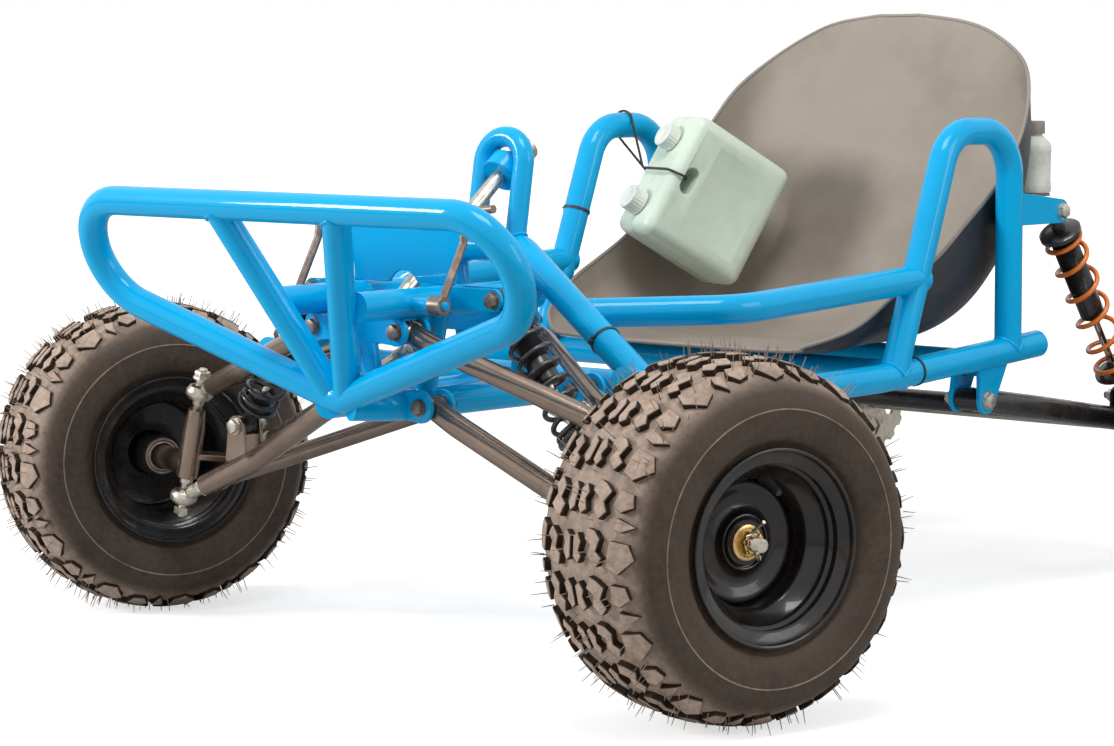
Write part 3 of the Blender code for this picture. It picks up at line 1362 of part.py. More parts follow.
def ring_of_holes(count, circle, radius):
    """Cutters for windows evenly spaced on a circle round Z."""
    cutters = []
    for i in range(count):
        angle = 2 * math.pi * i / count
        x, y = circle * math.cos(angle), circle * math.sin(angle)
        cutters.append(rod(radius, (x, y, -0.02), (x, y, 0.02), 6))
    return cutters


def toothed(outer, root, bore, teeth, thickness):
    """A chain wheel's outline with its bore."""
    outline = []
    pitch = 360 / teeth
    for i in range(teeth):
        for share, radius in ((0.0, root), (0.30, root), (0.44, outer), (0.86, outer)):
            angle = math.radians(pitch * (i + share))
            outline.append((radius * math.cos(angle), radius * math.sin(angle)))
    disc = slab(outline, thickness)
    windows = ring_of_holes(5, 0.040, 0.014)
    return cut(disc, *windows, rod(bore, (0, 0, -0.02), (0, 0, 0.02), WHEEL_SEGMENTS))


def make_rear_axle():
    axle = Vector((0, AXLE_Y, AXLE_Z))
    reach = REAR_WHEEL_X + HUB_TUBE_HALF + 0.020
    shaft = rod(REAR_AXLE_RADIUS, axle - Vector((reach, 0, 0)), axle + Vector((reach, 0, 0)), 12)
    nuts = []
    for side in (1, -1):
        nut = hex_prism(0.034, 0.012)
        start = Vector((side * (REAR_WHEEL_X + HUB_TUBE_HALF + GAP), AXLE_Y, AXLE_Z))
        nuts.append(at(nut, start, (side, 0, 0)))
    add("rear_axle", welded(shaft, *nuts), "zinc_steel", axle)
    bore = clear_of(REAR_AXLE_RADIUS + GAP, WHEEL_SEGMENTS)
    for side, word in ((1, "left"), (-1, "right")):
        place = Vector((side * REAR_WHEEL_X, AXLE_Y, AXLE_Z))
        add(word + "_rear_rim", lay_wheel(rim_mesh(bore), place, side), "black_paint", axle)
        add(word + "_rear_tyre", lay_wheel(tyre_mesh(), place, side), "tyre_rubber", axle)
    wheel = toothed(SPROCKET_RADIUS, SPROCKET_RADIUS - 0.006, bore, 16, 0.006)
    sprocket = lay_wheel(wheel, axle + Vector((SPROCKET_X, 0, 0)), 1)
    add("axle_sprocket", sprocket, "zinc_steel", axle)
    disc = slab(arc((0, 0), BRAKE_DISC_RADIUS, 0, 348, 29), 0.005)
    windows = ring_of_holes(6, 0.052, 0.010)
    disc = cut(disc, *windows, rod(bore, (0, 0, -0.02), (0, 0, 0.02), WHEEL_SEGMENTS))
    add("brake_disc", lay_wheel(disc, axle + Vector((BRAKE_DISC_X, 0, 0)), 1), "zinc_steel", axle)


# Pedals

def make_pedals():
    """A brake and a throttle pedal, each a bent rod turning on a stub of the upper rails."""
    for side, name in ((-1, "brake_pedal"), (1, "throttle_pedal")):
        x = side * PEDAL_X
        pivot = Vector((x, *PEDAL_PIVOT))
        path = rounded_path([
            pivot + Vector((0, 0.004, 0.000)), pivot + Vector((0, 0.042, 0.070)),
            pivot + Vector((0, 0.046, 0.108)), pivot + Vector((side * 0.046, 0.046, 0.112)),
        ], 0.012)
        lever = tube(path, 0.010, sides=6)
        sleeve = rod(0.011, pivot - Vector((0.010, 0, 0)), pivot + Vector((0.010, 0, 0)), 10)
        hole = rod(PIVOT_BORE, pivot - Vector((0.02, 0, 0)), pivot + Vector((0.02, 0, 0)), PIVOT_SIDES)
        add(name, cut(welded(lever, sleeve), hole), "chrome", pivot)


def pedal_pins():
    """The pins that stand out of the upper rails for the pedals."""
    pins = []
    for side in (1, -1):
        y, z = PEDAL_PIVOT
        end = PEDAL_X + 0.014
        pins.append(rod(PEDAL_PIN_RADIUS, (side * UPPER_RAIL_X, y, z), (side * end, y, z), PIVOT_SIDES))
        collar = PEDAL_X - 0.010 - GAP
        pins.append(rod(0.009, (side * UPPER_RAIL_X, y, z), (side * collar, y, z), 8))
    return pins


def main():
    clear_scene()
    for name, (colour, roughness, metallic) in FINISHES.items():
        material(name, colour, roughness, metallic)
    empty(CHASSIS, Matrix.Translation((-MIDDLE_X, -MIDDLE_Y, -GROUND_Z)))
    make_bumper()
    make_front_frame()
    make_front_plate()
    make_arch()
    make_steering_hoop()
    make_side_frames()
    make_cross_tubes()
    make_seat()
    make_can()
    make_can_tie()
    make_bottle()
    for side, word, steer in ((1, "left", LEFT_STEER), (-1, "right", RIGHT_STEER)):
        hub_axes(side, word, steer)
        make_lower_arm(side, word)
        make_upper_arm(side, word)
        make_kingpin(side, word)
        make_upright(side, word)
        make_front_wheel(side, word)
        make_front_shock(side, word)
        make_tie_rod(side, word, steer)
        make_rear_shock(side, word)
    make_column()
    make_centre_link()
    make_swing_arm()
    make_rear_axle()
    make_pedals()


main()
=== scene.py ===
# %% [markdown]
# # An off-road racing kart on a welded tube frame
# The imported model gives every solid, its place and its joints. The cells below dress it: smooth tubes
# with their weld beads, a spun rim, a tyre with its tread blocks, coil springs, a sheet metal seat and
# the finishes. Each new piece rides on the body that carries it, so it moves as the solid does.

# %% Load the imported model
import json
import math
import random

import bmesh
import bpy
from mathutils import Matrix, Vector


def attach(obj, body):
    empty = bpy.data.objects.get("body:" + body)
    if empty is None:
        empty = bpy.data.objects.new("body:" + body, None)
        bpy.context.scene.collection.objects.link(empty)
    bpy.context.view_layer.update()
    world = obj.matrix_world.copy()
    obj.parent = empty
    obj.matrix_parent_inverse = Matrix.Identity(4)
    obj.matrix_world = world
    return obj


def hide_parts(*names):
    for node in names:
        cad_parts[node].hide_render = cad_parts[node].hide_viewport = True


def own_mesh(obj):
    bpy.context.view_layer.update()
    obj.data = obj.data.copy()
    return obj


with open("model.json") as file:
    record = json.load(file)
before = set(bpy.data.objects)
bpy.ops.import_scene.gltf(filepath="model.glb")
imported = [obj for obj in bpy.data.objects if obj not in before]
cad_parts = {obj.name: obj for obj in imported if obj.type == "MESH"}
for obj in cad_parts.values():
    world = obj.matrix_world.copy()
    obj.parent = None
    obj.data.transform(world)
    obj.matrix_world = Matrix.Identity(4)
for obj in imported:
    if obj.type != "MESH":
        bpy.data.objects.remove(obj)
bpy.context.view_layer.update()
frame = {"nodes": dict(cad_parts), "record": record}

# %% [markdown]
# The kart is drawn from a datum on the ground, midway between the front kingpins: +X is the driver's
# left, +Y the rear. The finished part stands with the middle of its footprint on the origin, so one
# shift takes a piece from the drawing to its place.

# %% The datum, and the sizes that many pieces share
DATUM = Vector((-0.00749, 0.57946, -0.00131))
TO_PLACE = Matrix.Translation(-DATUM)
FRAME_OD = 0.036
POST_OD = 0.026
SIDE_X = 0.305
SIDES = ((1, "left"), (-1, "right"))
GAP = 0.0003
FRAME_RADIUS, POST_RADIUS = FRAME_OD / 2, POST_OD / 2
RAIL = [(0.060, 0.350), (0.300, 0.3145), (0.550, 0.317), (0.892, 0.339)]


def mirror_x(point, side):
    """The same point on the driver's left (side +1) or right (side -1)."""
    return Vector((side * point[0], point[1], point[2]))


def axes(x_axis, y_axis, z_axis):
    """The turn that lays X, Y and Z along three directions."""
    return Matrix((x_axis, y_axis, z_axis)).transposed().to_4x4()


def in_scene(name, data):
    """A new object in the scene."""
    obj = bpy.data.objects.new(name, data)
    bpy.context.scene.collection.objects.link(obj)
    return obj


# %% [markdown]
# ## Camera, light and floor
# The camera stands where the photograph was taken: in front of the kart, to its left, a little above
# the frame. The light is a bright window in front, a small panel above, a soft one to the side and a pale
# room all round. The window and the panel above draw the white streaks along the painted tubes. What the
# camera sees of the room is white, and so is what it sees in metal or through glass.

# %% Camera
CAMERA_PLACE = Vector((2.8302, -2.7633, 0.7308)) - DATUM
AZIMUTH = math.radians(42.9458)
PITCH = math.radians(5.5807)
ROLL = math.radians(-0.1853)
PHOTO_WIDTH = 1114
FOCAL_PIXELS = 3300
SENSOR = 36.0
lens = bpy.data.cameras.new("camera")
lens.sensor_width = SENSOR
lens.sensor_fit = "HORIZONTAL"
lens.lens = SENSOR * FOCAL_PIXELS / PHOTO_WIDTH
view = Vector((-math.sin(AZIMUTH) * math.cos(PITCH), math.cos(AZIMUTH) * math.cos(PITCH), -math.sin(PITCH)))
level = Vector((math.cos(AZIMUTH), math.sin(AZIMUTH), 0))
upright = level.cross(view)
right = level * math.cos(ROLL) + upright * math.sin(ROLL)
camera = in_scene("camera", lens)
camera.matrix_world = Matrix.Translation(CAMERA_PLACE) @ axes(right, right.cross(view), -view)
bpy.context.scene.camera = camera
bpy.context.scene.view_settings.view_transform = "Standard"
print("lens", round(lens.lens, 2), "mm")


# %% Light
PANEL_AIM = Vector((0, 0, 0.3))


def soft_panel(name, place, size, power):
    """A square lamp that faces the middle of the kart."""
    lamp = bpy.data.lights.new(name, "AREA")
    lamp.size = size
    lamp.energy = power
    aim = PANEL_AIM - Vector(place)
    turn = aim.to_track_quat("-Z", "Y").to_matrix().to_4x4()
    in_scene(name, lamp).matrix_world = Matrix.Translation(place) @ turn


soft_panel("panel_above", (0.9, -1.0, 3.0), size=1.2, power=46)
soft_panel("panel_left", (3.4, 0.6, 1.9), size=1.6, power=26)
soft_panel("window_front", (-2.2, -3.0, 1.75), size=0.85, power=76)
print("3 soft panels")

# %% [markdown]
# The room, the floor and every finish are small node trees. One helper makes a node: its settings go in
# by name, and each of its inputs gets either a value or another node's output.

# %% Nodes
WHITE = (1.0, 1.0, 1.0, 1.0)


def fill(tree, node, inputs):
    """Gives each input its value, or links it to another node's output."""
    for key, value in inputs.items():
        if isinstance(value, bpy.types.NodeSocket):
            tree.links.new(value, node.inputs[key])
        else:
            node.inputs[key].default_value = value


def add(tree, kind, inputs=None, **settings):
    """Makes a shader node and hands back its outputs."""
    node = tree.nodes.new("ShaderNode" + kind)
    for key, value in settings.items():
        setattr(node, key, value)
    fill(tree, node, inputs or {})
    return node.outputs


# %% Room
ROOM_STRENGTH = 0.34
room = bpy.data.worlds.new("room")
bpy.context.scene.world = room
room.use_nodes = True
tree = room.node_tree
rays = add(tree, "LightPath")
clear = add(tree, "Math", {0: rays["Is Camera Ray"], 1: rays["Is Transmission Ray"]}, operation="MAXIMUM")
seen = add(tree, "Math", {0: clear[0], 1: rays["Is Glossy Ray"]}, operation="MAXIMUM")
strength = add(tree, "MapRange", {"Value": seen[0], "To Min": ROOM_STRENGTH, "To Max": 1.0})
fill(tree, tree.nodes["Background"], {"Color": WHITE, "Strength": strength["Result"]})

# %% [markdown]
# The floor is one wide pale sheet. To the camera it also glows, more so far from the kart, and it meets
# the white of the room without a line but keeps the soft shadow under the wheels. No other ray sees that.

# %% Floor
FLOOR_GREY = 0.66
FLOOR_GLOW, FLOOR_GLOW_FAR = 0.66, 1.0
GLOW_STARTS, GLOW_ENDS = 1.6, 4.0
floor_form = bmesh.new()
bmesh.ops.create_grid(floor_form, x_segments=1, y_segments=1, size=30.0)
floor_mesh = bpy.data.meshes.new("floor")
floor_form.to_mesh(floor_mesh)
floor_form.free()
floor = in_scene("floor", floor_mesh)
floor_finish = bpy.data.materials.new("floor")
floor_finish.use_nodes = True
tree = floor_finish.node_tree
distance = add(tree, "VectorMath", {0: add(tree, "TexCoord")["Object"]}, operation="LENGTH")
fade = add(tree, "MapRange", {
    "Value": distance["Value"], "From Min": GLOW_STARTS, "From Max": GLOW_ENDS, "To Min": FLOOR_GLOW,
    "To Max": FLOOR_GLOW_FAR,
})
rays = add(tree, "LightPath")
glow = add(tree, "Math", {0: rays["Is Camera Ray"], 1: fade["Result"]}, operation="MULTIPLY")
fill(tree, tree.nodes["Principled BSDF"], {
    "Base Color": (FLOOR_GREY, FLOOR_GREY, FLOOR_GREY, 1.0), "Roughness": 0.9, "Emission Color": WHITE,
    "Emission Strength": glow[0],
})
floor_mesh.materials.append(floor_finish)

# %% [markdown]
# ## Finishes
# Every finish is built the same way. A slow noise stains the base colour, a fast noise breaks it up,
# the gloss wanders with the same noise and a fine bump gives the grain. All of them read the piece's
# own coordinates, so a pattern stays on its piece when a joint turns.


# %% A finish
GRAIN_DEPTH = 0.0004
LEAST_STAIN = 0.45
NOISE_SPAN = (0.3, 0.7)


def finish(
    name, colour, roughness, metallic=0.0, stain=None, stain_scale=9.0, stain_range=(0.52, 0.72),
    stain_most=0.8, mottle=0.10, mottle_scale=70.0, spread=0.08, bump=0.15, bump_scale=420.0, coat=0.0,
    coat_roughness=0.08, stretch=(1.0, 1.0, 1.0), attribute=None, subsurface=0.0, specular=0.5,
):
    """A Principled finish, stained, mottled and grained by noise on the piece's own coordinates."""
    made = bpy.data.materials.new(name)
    made.use_nodes = True
    tree = made.node_tree
    place = add(tree, "TexCoord")["Object"]
    stretched = add(tree, "Mapping", {"Vector": place, "Scale": stretch})["Vector"]

    def noise(scale, detail, vector):
        return add(tree, "TexNoise", {
            "Scale": scale, "Detail": detail, "Roughness": 0.6, "Vector": vector,
        })["Fac"]

    def ranged(value, low, high, to_low, to_high):
        return add(tree, "MapRange", {
            "Value": value, "From Min": low, "From Max": high, "To Min": to_low, "To Max": to_high,
        })["Result"]

    slow = noise(stain_scale, 5.0, place)
    fast = noise(mottle_scale, 4.0, stretched)
    grain = noise(bump_scale, 2.0, stretched)
    share = ranged(slow, *stain_range, LEAST_STAIN if attribute else 0.0, stain_most)
    if attribute:
        worn = add(tree, "Attribute", attribute_name=attribute)["Fac"]
        share = add(tree, "Math", {0: worn, 1: share}, operation="MULTIPLY")[0]
    mixed = add(tree, "Mix", {
        "A": (*colour, 1.0), "B": (*(stain or colour), 1.0), "Factor": share,
    }, data_type="RGBA")["Result"]
    value = ranged(fast, *NOISE_SPAN, 1.0 - mottle, 1.0 + mottle)
    fill(tree, tree.nodes["Principled BSDF"], {
        "Base Color": add(tree, "HueSaturation", {"Value": value, "Color": mixed})["Color"],
        "Roughness": ranged(fast, *NOISE_SPAN, max(0.02, roughness - spread), roughness + spread),
        "Metallic": metallic, "Coat Weight": coat, "Coat Roughness": coat_roughness,
        "Specular IOR Level": specular, "Subsurface Weight": subsurface,
        "Subsurface Radius": (0.02, 0.02, 0.02),
        "Normal": add(tree, "Bump", {"Strength": bump, "Distance": GRAIN_DEPTH, "Height": grain})["Normal"],
    })
    return made


# %% The finishes of this kart
BLUE = finish(
    "blue_paint", (0.0, 0.436, 0.825), 0.30, stain=(0.0, 0.345, 0.73), stain_scale=10, stain_most=0.30,
    mottle=0.015, mottle_scale=18, spread=0.03, bump=0.03, bump_scale=30, coat=0.42, coat_roughness=0.03,
    specular=0.05,
)
SEAT = finish(
    "seat_metal", (0.345, 0.298, 0.252), 0.55, 0.10, stain=(0.255, 0.216, 0.178), stain_scale=5.5,
    stain_range=(0.42, 0.66), mottle=0.03, mottle_scale=14, spread=0.04, bump=0.08, bump_scale=90,
    stretch=(1.0, 3.0, 3.0), specular=0.25,
)
# The seat's outside is the same bare metal as its inside; this near black finish is painted shade for it.
SEAT_PAINTED_SHADE = finish(
    "seat_underside_painted_shade", (0.026, 0.027, 0.032), 0.46, stain=(0.060, 0.052, 0.045), stain_scale=9, mottle=0.12,
    mottle_scale=60, bump=0.12, bump_scale=160,
)
RUBBER = finish(
    "tyre_rubber", (0.026, 0.0162, 0.0100), 0.60, stain=(0.490, 0.368, 0.290), stain_scale=22,
    stain_range=(0.22, 0.52), stain_most=1.0, mottle=0.24, mottle_scale=140, spread=0.10, bump=0.45,
    bump_scale=600, attribute="dust", specular=0.25,
)
RIM_BLACK = finish(
    "rim_black", (0.012, 0.010, 0.009), 0.30, stain=(0.050, 0.036, 0.027), stain_scale=18,
    stain_range=(0.50, 0.74), stain_most=0.7, mottle=0.12, spread=0.08, bump=0.06, bump_scale=200, coat=0.35,
    coat_roughness=0.06, specular=0.30,
)
BLACK = finish(
    "black_paint", (0.016, 0.015, 0.015), 0.30, stain=(0.050, 0.042, 0.036), stain_scale=24, mottle=0.15,
    bump=0.20, coat=0.3,
)
DARK_STEEL = finish(
    "dark_steel", (0.285, 0.212, 0.168), 0.24, 0.85, stain=(0.120, 0.085, 0.062), stain_scale=12,
    stain_range=(0.50, 0.74), stain_most=0.6, mottle=0.05, mottle_scale=30, spread=0.05, bump=0.04,
    bump_scale=160,
)
BOLT_STEEL = finish(
    "bolt_steel", (0.235, 0.180, 0.145), 0.40, 0.70, stain=(0.42, 0.36, 0.30), stain_scale=80, mottle=0.16,
    mottle_scale=260, bump=0.25, bump_scale=900,
)
ZINC = finish(
    "zinc_steel", (0.60, 0.55, 0.47), 0.34, 0.88, stain=(0.30, 0.23, 0.16), stain_scale=60, mottle=0.12,
    mottle_scale=260, spread=0.12, bump=0.25, bump_scale=900,
)
CHROME = finish(
    "chrome", (0.62, 0.59, 0.55), 0.15, 1.0, stain=(0.30, 0.25, 0.20), stain_scale=40, spread=0.06,
)
YELLOW_ZINC = finish(
    "yellow_zinc", (0.68, 0.49, 0.20), 0.30, 0.92, stain=(0.45, 0.26, 0.16), stain_scale=90, mottle=0.16,
    mottle_scale=300, spread=0.12, bump=0.25, bump_scale=900,
)
SPRING_BLACK = finish(
    "spring_black", (0.018, 0.018, 0.019), 0.32, stain=(0.07, 0.06, 0.05), stain_scale=50, coat=0.4,
)
SPRING_ORANGE = finish(
    "spring_orange", (0.86, 0.200, 0.018), 0.30, stain=(0.48, 0.10, 0.02), stain_scale=50, mottle=0.08,
    coat=0.4,
)
BLACK_PLASTIC = finish(
    "black_plastic", (0.018, 0.018, 0.019), 0.50, stain=(0.05, 0.045, 0.04), stain_scale=60,
)
CAN = finish(
    "can_plastic", (0.715, 0.825, 0.695), 0.38, stain=(0.63, 0.74, 0.62), stain_scale=11,
    stain_range=(0.40, 0.72), mottle=0.04, mottle_scale=40, spread=0.05, bump=0.25, bump_scale=130,
    subsurface=0.35,
)
CAP = finish("cap_plastic", (0.78, 0.82, 0.74), 0.42, stain=(0.62, 0.62, 0.54), stain_scale=50, mottle=0.06)
GREY_CAP = finish("grey_plastic", (0.30, 0.26, 0.22), 0.50, stain=(0.20, 0.17, 0.14), stain_scale=60)
BY_SLOT = {
    "blue": BLUE, "black": BLACK, "dark_steel": DARK_STEEL, "zinc": ZINC, "chrome": CHROME,
    "yellow_zinc": YELLOW_ZINC, "seat": SEAT, "tyre": RUBBER, "black_spring": SPRING_BLACK,
    "orange_spring": SPRING_ORANGE, "black_plastic": BLACK_PLASTIC, "can": CAN, "cap": CAP,
}
SLOT_OF = {made: slot for slot, made in BY_SLOT.items()}
SLOT_OF.update({RIM_BLACK: "black", BOLT_STEEL: "zinc", SEAT_PAINTED_SHADE: "seat", GREY_CAP: "black_plastic"})
print(len(SLOT_OF), "finishes")

# %% [markdown]
# ## Ways of making
# A kart is mostly bent tube, turned parts and cut plate, so three makers cover it. A tube is swept
# along a path whose corners are true arcs. A turned part is a profile spun round an axis. A plate is
# an outline pushed to its thickness, with its edges broken by a small bevel.


# %% Paths and frames
def rounded_path(corners, radius, closed=False, step=math.radians(5)):
    """The corners joined by straight runs, each bend an arc of the given radius."""
    points = [Vector(c) for c in corners]
    radii = radius if isinstance(radius, (list, tuple)) else [radius] * len(points)
    path = []
    for index, corner in enumerate(points):
        if not closed and index in (0, len(points) - 1):
            path.append(corner)
            continue
        back = (points[index - 1] - corner).normalized()
        ahead = (points[(index + 1) % len(points)] - corner).normalized()
        half_angle = back.angle(ahead) / 2
        turn = math.pi - 2 * half_angle
        if turn < math.radians(1):
            path.append(corner)
            continue
        middle = corner + (back + ahead).normalized() * (radii[index] / math.sin(half_angle))
        start = corner + back * (radii[index] / math.tan(half_angle)) - middle
        axis = back.cross(ahead).normalized()
        steps = max(3, round(turn / step))
        for i in range(steps + 1):
            path.append(middle + Matrix.Rotation(-turn * i / steps, 3, axis) @ start)
    return path


def facing(direction):
    """The turn that lays Z along a direction, with X kept level."""
    z_axis = Vector(direction).normalized()
    x_axis = Vector((0, 0, 1)).cross(z_axis)
    x_axis = x_axis.normalized() if x_axis.length > 1e-6 else Vector((1, 0, 0))
    return axes(x_axis, z_axis.cross(x_axis), z_axis)


def moved(mesh, matrix):
    """The mesh after a move or a turn."""
    mesh.transform(matrix)
    return mesh


def at(mesh, place, direction=(0, 0, 1)):
    """The mesh moved from the origin to its place, its Z along a direction."""
    return moved(mesh, Matrix.Translation(Vector(place)) @ facing(direction))


def stood(mesh, place):
    """A flat mesh stood up square to Y, at its place."""
    return moved(mesh, Matrix.Translation(place) @ Matrix.Rotation(math.pi / 2, 4, "X"))


def arc(centre, radius, start, end, steps):
    """Points of an arc, its angles in degrees."""
    angles = [math.radians(start + (end - start) * i / steps) for i in range(steps + 1)]
    return [(centre[0] + radius * math.cos(a), centre[1] + radius * math.sin(a)) for a in angles]


# %% Meshes
def applied(obj):
    """The object's mesh with its modifiers in it. The object goes."""
    bpy.context.view_layer.update()
    graph = bpy.context.evaluated_depsgraph_get()
    mesh = bpy.data.meshes.new_from_object(obj.evaluated_get(graph), depsgraph=graph)
    bpy.data.objects.remove(obj, do_unlink=True)
    return mesh


def bmesh_to_mesh(form, recalculate=True):
    """The form as a mesh, its faces turned outwards. The form goes."""
    if recalculate:
        bmesh.ops.recalc_face_normals(form, faces=form.faces)
    mesh = bpy.data.meshes.new("form")
    form.to_mesh(mesh)
    form.free()
    return mesh


def opened(*meshes):
    """A form that holds the meshes, to be worked on."""
    form = bmesh.new()
    for mesh in meshes:
        form.from_mesh(mesh)
    return form


def joined(*meshes):
    """Several meshes in one."""
    return bmesh_to_mesh(opened(*meshes), recalculate=False)


def tube(path, diameter, closed=False, sides=28, thickness=None):
    """A round bar swept along a path. thickness may give a share of the radius at each point."""
    curve = bpy.data.curves.new("tube", "CURVE")
    curve.dimensions = "3D"
    curve.bevel_depth = diameter / 2
    curve.bevel_resolution = (sides - 4) // 2
    curve.use_fill_caps = not closed
    spline = curve.splines.new("POLY")
    spline.points.add(len(path) - 1)
    for index, (point, place) in enumerate(zip(spline.points, path)):
        point.co = (*place, 1.0)
        if thickness:
            point.radius = thickness[index]
    spline.use_cyclic_u = closed
    form = opened(applied(in_scene("tube", curve)))
    bmesh.ops.remove_doubles(form, verts=form.verts, dist=1e-6)
    return bmesh_to_mesh(form)


def turned(profile, segments=48):
    """A lathe form about Z from (radius, height) points, closed or ending on the axis."""
    form = bmesh.new()
    ring = [form.verts.new((radius, 0.0, height)) for radius, height in profile]
    whole = max(profile[0][0], profile[-1][0]) > 0
    count = len(ring) if whole else len(ring) - 1
    edges = [form.edges.new((ring[i], ring[(i + 1) % len(ring)])) for i in range(count)]
    bmesh.ops.spin(
        form, geom=ring + edges, cent=(0, 0, 0), axis=(0, 0, 1), angle=2 * math.pi, steps=segments,
        use_merge=True,
    )
    bmesh.ops.remove_doubles(form, verts=form.verts, dist=1e-6)
    bmesh.ops.dissolve_degenerate(form, edges=form.edges, dist=1e-7)
    return bmesh_to_mesh(form)


def both_ways(half):
    """A profile given from one end to its middle, then its mirror image out to the other end."""
    return half + [(radius, -height) for radius, height in reversed(half) if height]


def collar(bore, outer, half, edge=(0.0005, 0.0006), segments=32):
    """A ring about Z, each outer corner cut back by (inwards, along)."""
    return turned(both_ways([(bore, -half), (outer - edge[0], -half), (outer, edge[1] - half)]), segments)


def disc(radius, height, segments=28):
    """A round disc that stands on z = 0."""
    return turned([(0.0, 0.0), (radius, 0.0), (radius, height), (0.0, height)], segments)


def sharp_edges(form, angle=40):
    """The edges at which the surface turns by more than an angle."""
    return [e for e in form.edges if len(e.link_faces) == 2 and e.calc_face_angle(0) > math.radians(angle)]


def bevel(form, edges, width, segments=2, clamp=False):
    """Breaks or rounds the given edges."""
    bmesh.ops.bevel(
        form, geom=edges, offset=width, affect="EDGES", segments=segments, profile=0.5, material=-1,
        clamp_overlap=clamp,
    )


def bar(radius, start, end, sides=28, chamfer=0.0):
    """A straight round bar between two points, its ends broken."""
    start, end = Vector(start), Vector(end)
    form = bmesh.new()
    bmesh.ops.create_cone(
        form, cap_ends=True, segments=sides, radius1=radius, radius2=radius, depth=(end - start).length,
    )
    if chamfer:
        bevel(form, sharp_edges(form), chamfer, clamp=True)
    return at(bmesh_to_mesh(form), (start + end) / 2, end - start)


def pushed_up(form, faces, height):
    """Gives flat faces a thickness above them."""
    made = bmesh.ops.extrude_face_region(form, geom=faces)
    raised = [item for item in made["geom"] if isinstance(item, bmesh.types.BMVert)]
    bmesh.ops.translate(form, verts=raised, vec=(0, 0, height))
    bmesh.ops.recalc_face_normals(form, faces=form.faces)


def plate(outline, thickness, edge=0.0006):
    """A plate cut to an outline of (x, y) points, half its thickness to each side of z = 0."""
    form = bmesh.new()
    face = form.faces.new([form.verts.new((x, y, -thickness / 2)) for x, y in outline])
    pushed_up(form, [face], thickness)
    if edge:
        bevel(form, sharp_edges(form), edge, segments=1, clamp=True)
    return bmesh_to_mesh(form)


def block(size, edge=0.001):
    """A box about the origin with broken edges."""
    form = bmesh.new()
    bmesh.ops.create_cube(form, size=1.0)
    bmesh.ops.scale(form, vec=size, verts=form.verts)
    bevel(form, sharp_edges(form), edge, clamp=True)
    return bmesh_to_mesh(form)


def show(name, mesh, made, body, *replaced, smooth=38):
    """A finished piece, of one mesh or a list of them, on the body that it rides on."""
    if isinstance(mesh, list):
        mesh = joined(*mesh)
    mesh.transform(TO_PLACE)
    mesh.name = name
    mesh.materials.clear()
    mesh.materials.append(made)
    mesh.shade_smooth()
    mesh.set_sharp_from_angle(angle=math.radians(smooth))
    obj = in_scene(name, mesh)
    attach(obj, body)
    if replaced:
        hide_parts(*replaced)
    return obj


# %% [markdown]
# ### Weld beads
# Where one tube ends on another, the real frame has a bead of weld under the paint. The bead follows
# the curve on which the two tubes meet, so its points are found by running lines along the first tube
# until each one strikes the second. A short random swell at each point gives the stacked look.

# %% Weld bead
chance = random.Random(7)
BEAD_STEPS, BEAD_SWELL = 56, 0.14


def bead(start, end, radius, other_start, other_end, other_radius, size=0.0052):
    """The bead where a tube that runs from start to end strikes the other tube."""
    start, end = Vector(start), Vector(end)
    other_start, other_end = Vector(other_start), Vector(other_end)
    along = (end - start).normalized()
    axis = (other_end - other_start).normalized()
    first = along.orthogonal().normalized()
    second = along.cross(first)
    path = []
    for i in range(BEAD_STEPS):
        angle = 2 * math.pi * i / BEAD_STEPS
        point = start + (first * math.cos(angle) + second * math.sin(angle)) * radius
        offset = point - other_start
        across = offset - axis * offset.dot(axis)
        sideways = along - axis * along.dot(axis)
        a = sideways.dot(sideways)
        b = 2 * across.dot(sideways)
        c = across.dot(across) - other_radius ** 2
        root = b * b - 4 * a * c
        if root < 0:
            return None
        path.append(point + along * ((-b - math.sqrt(root)) / (2 * a)))
    swell = [1.0 + chance.uniform(-BEAD_SWELL, BEAD_SWELL) for _ in range(BEAD_STEPS)]
    return tube(path, size, closed=True, sides=8, thickness=swell)


def beads(*found):
    """The beads whose tube does strike the other."""
    return [item for item in found if item]


# %% [markdown]
# ### Bolts
# The pivots of the kart are held by zinc-plated hexagon bolts with plain washers and lock nuts.


# %% Bolts
BOLT_FLATS = 0.016
WASHER, WASHER_SHARE = 0.0016, 0.66
HEAD_SINK = 0.0002
THREAD_PITCH, COARSE_PITCH = 0.0012, 0.0016


def hexagon(flats, height):
    """A bolt head standing on z = 0, its top corners turned off."""
    form = bmesh.new()
    corner = flats / math.sqrt(3)
    bmesh.ops.create_cone(form, cap_ends=True, segments=6, radius1=corner, radius2=corner, depth=height)
    bmesh.ops.translate(form, verts=form.verts, vec=(0, 0, height / 2))
    top = [e for e in form.edges if all(v.co.z > height * 0.9 for v in e.verts)]
    bevel(form, top, height * 0.16)
    return bmesh_to_mesh(form)


def thread(low, high, crest, root, pitch):
    """The points of a screw thread, and the height at which it ends."""
    points = []
    while low < high:
        points += [(crest, low + pitch / 2), (root, low + pitch)]
        low += pitch
    return points, low


def bolt_head(place, direction, flats=BOLT_FLATS, height=0.0065):
    """A washer and a hexagon head."""
    head = at(hexagon(flats, height), (0, 0, WASHER - HEAD_SINK))
    return at(joined(disc(flats * WASHER_SHARE, WASHER), head), place, direction)


def bolt_nut(place, direction, flats=BOLT_FLATS, height=0.009, stub=0.006, crest=0.005):
    """A washer, a lock nut and the end of the bolt."""
    nut = at(hexagon(flats, height), (0, 0, WASHER - HEAD_SINK))
    root = crest * 0.86
    points, tip = thread(height, height + stub, crest, root, THREAD_PITCH)
    end = turned([(0.0, height * 0.5), (root, height * 0.5), (root, height)] + points + [(0.0, tip)], 20)
    return at(joined(disc(flats * WASHER_SHARE, WASHER), nut, end), place, direction)


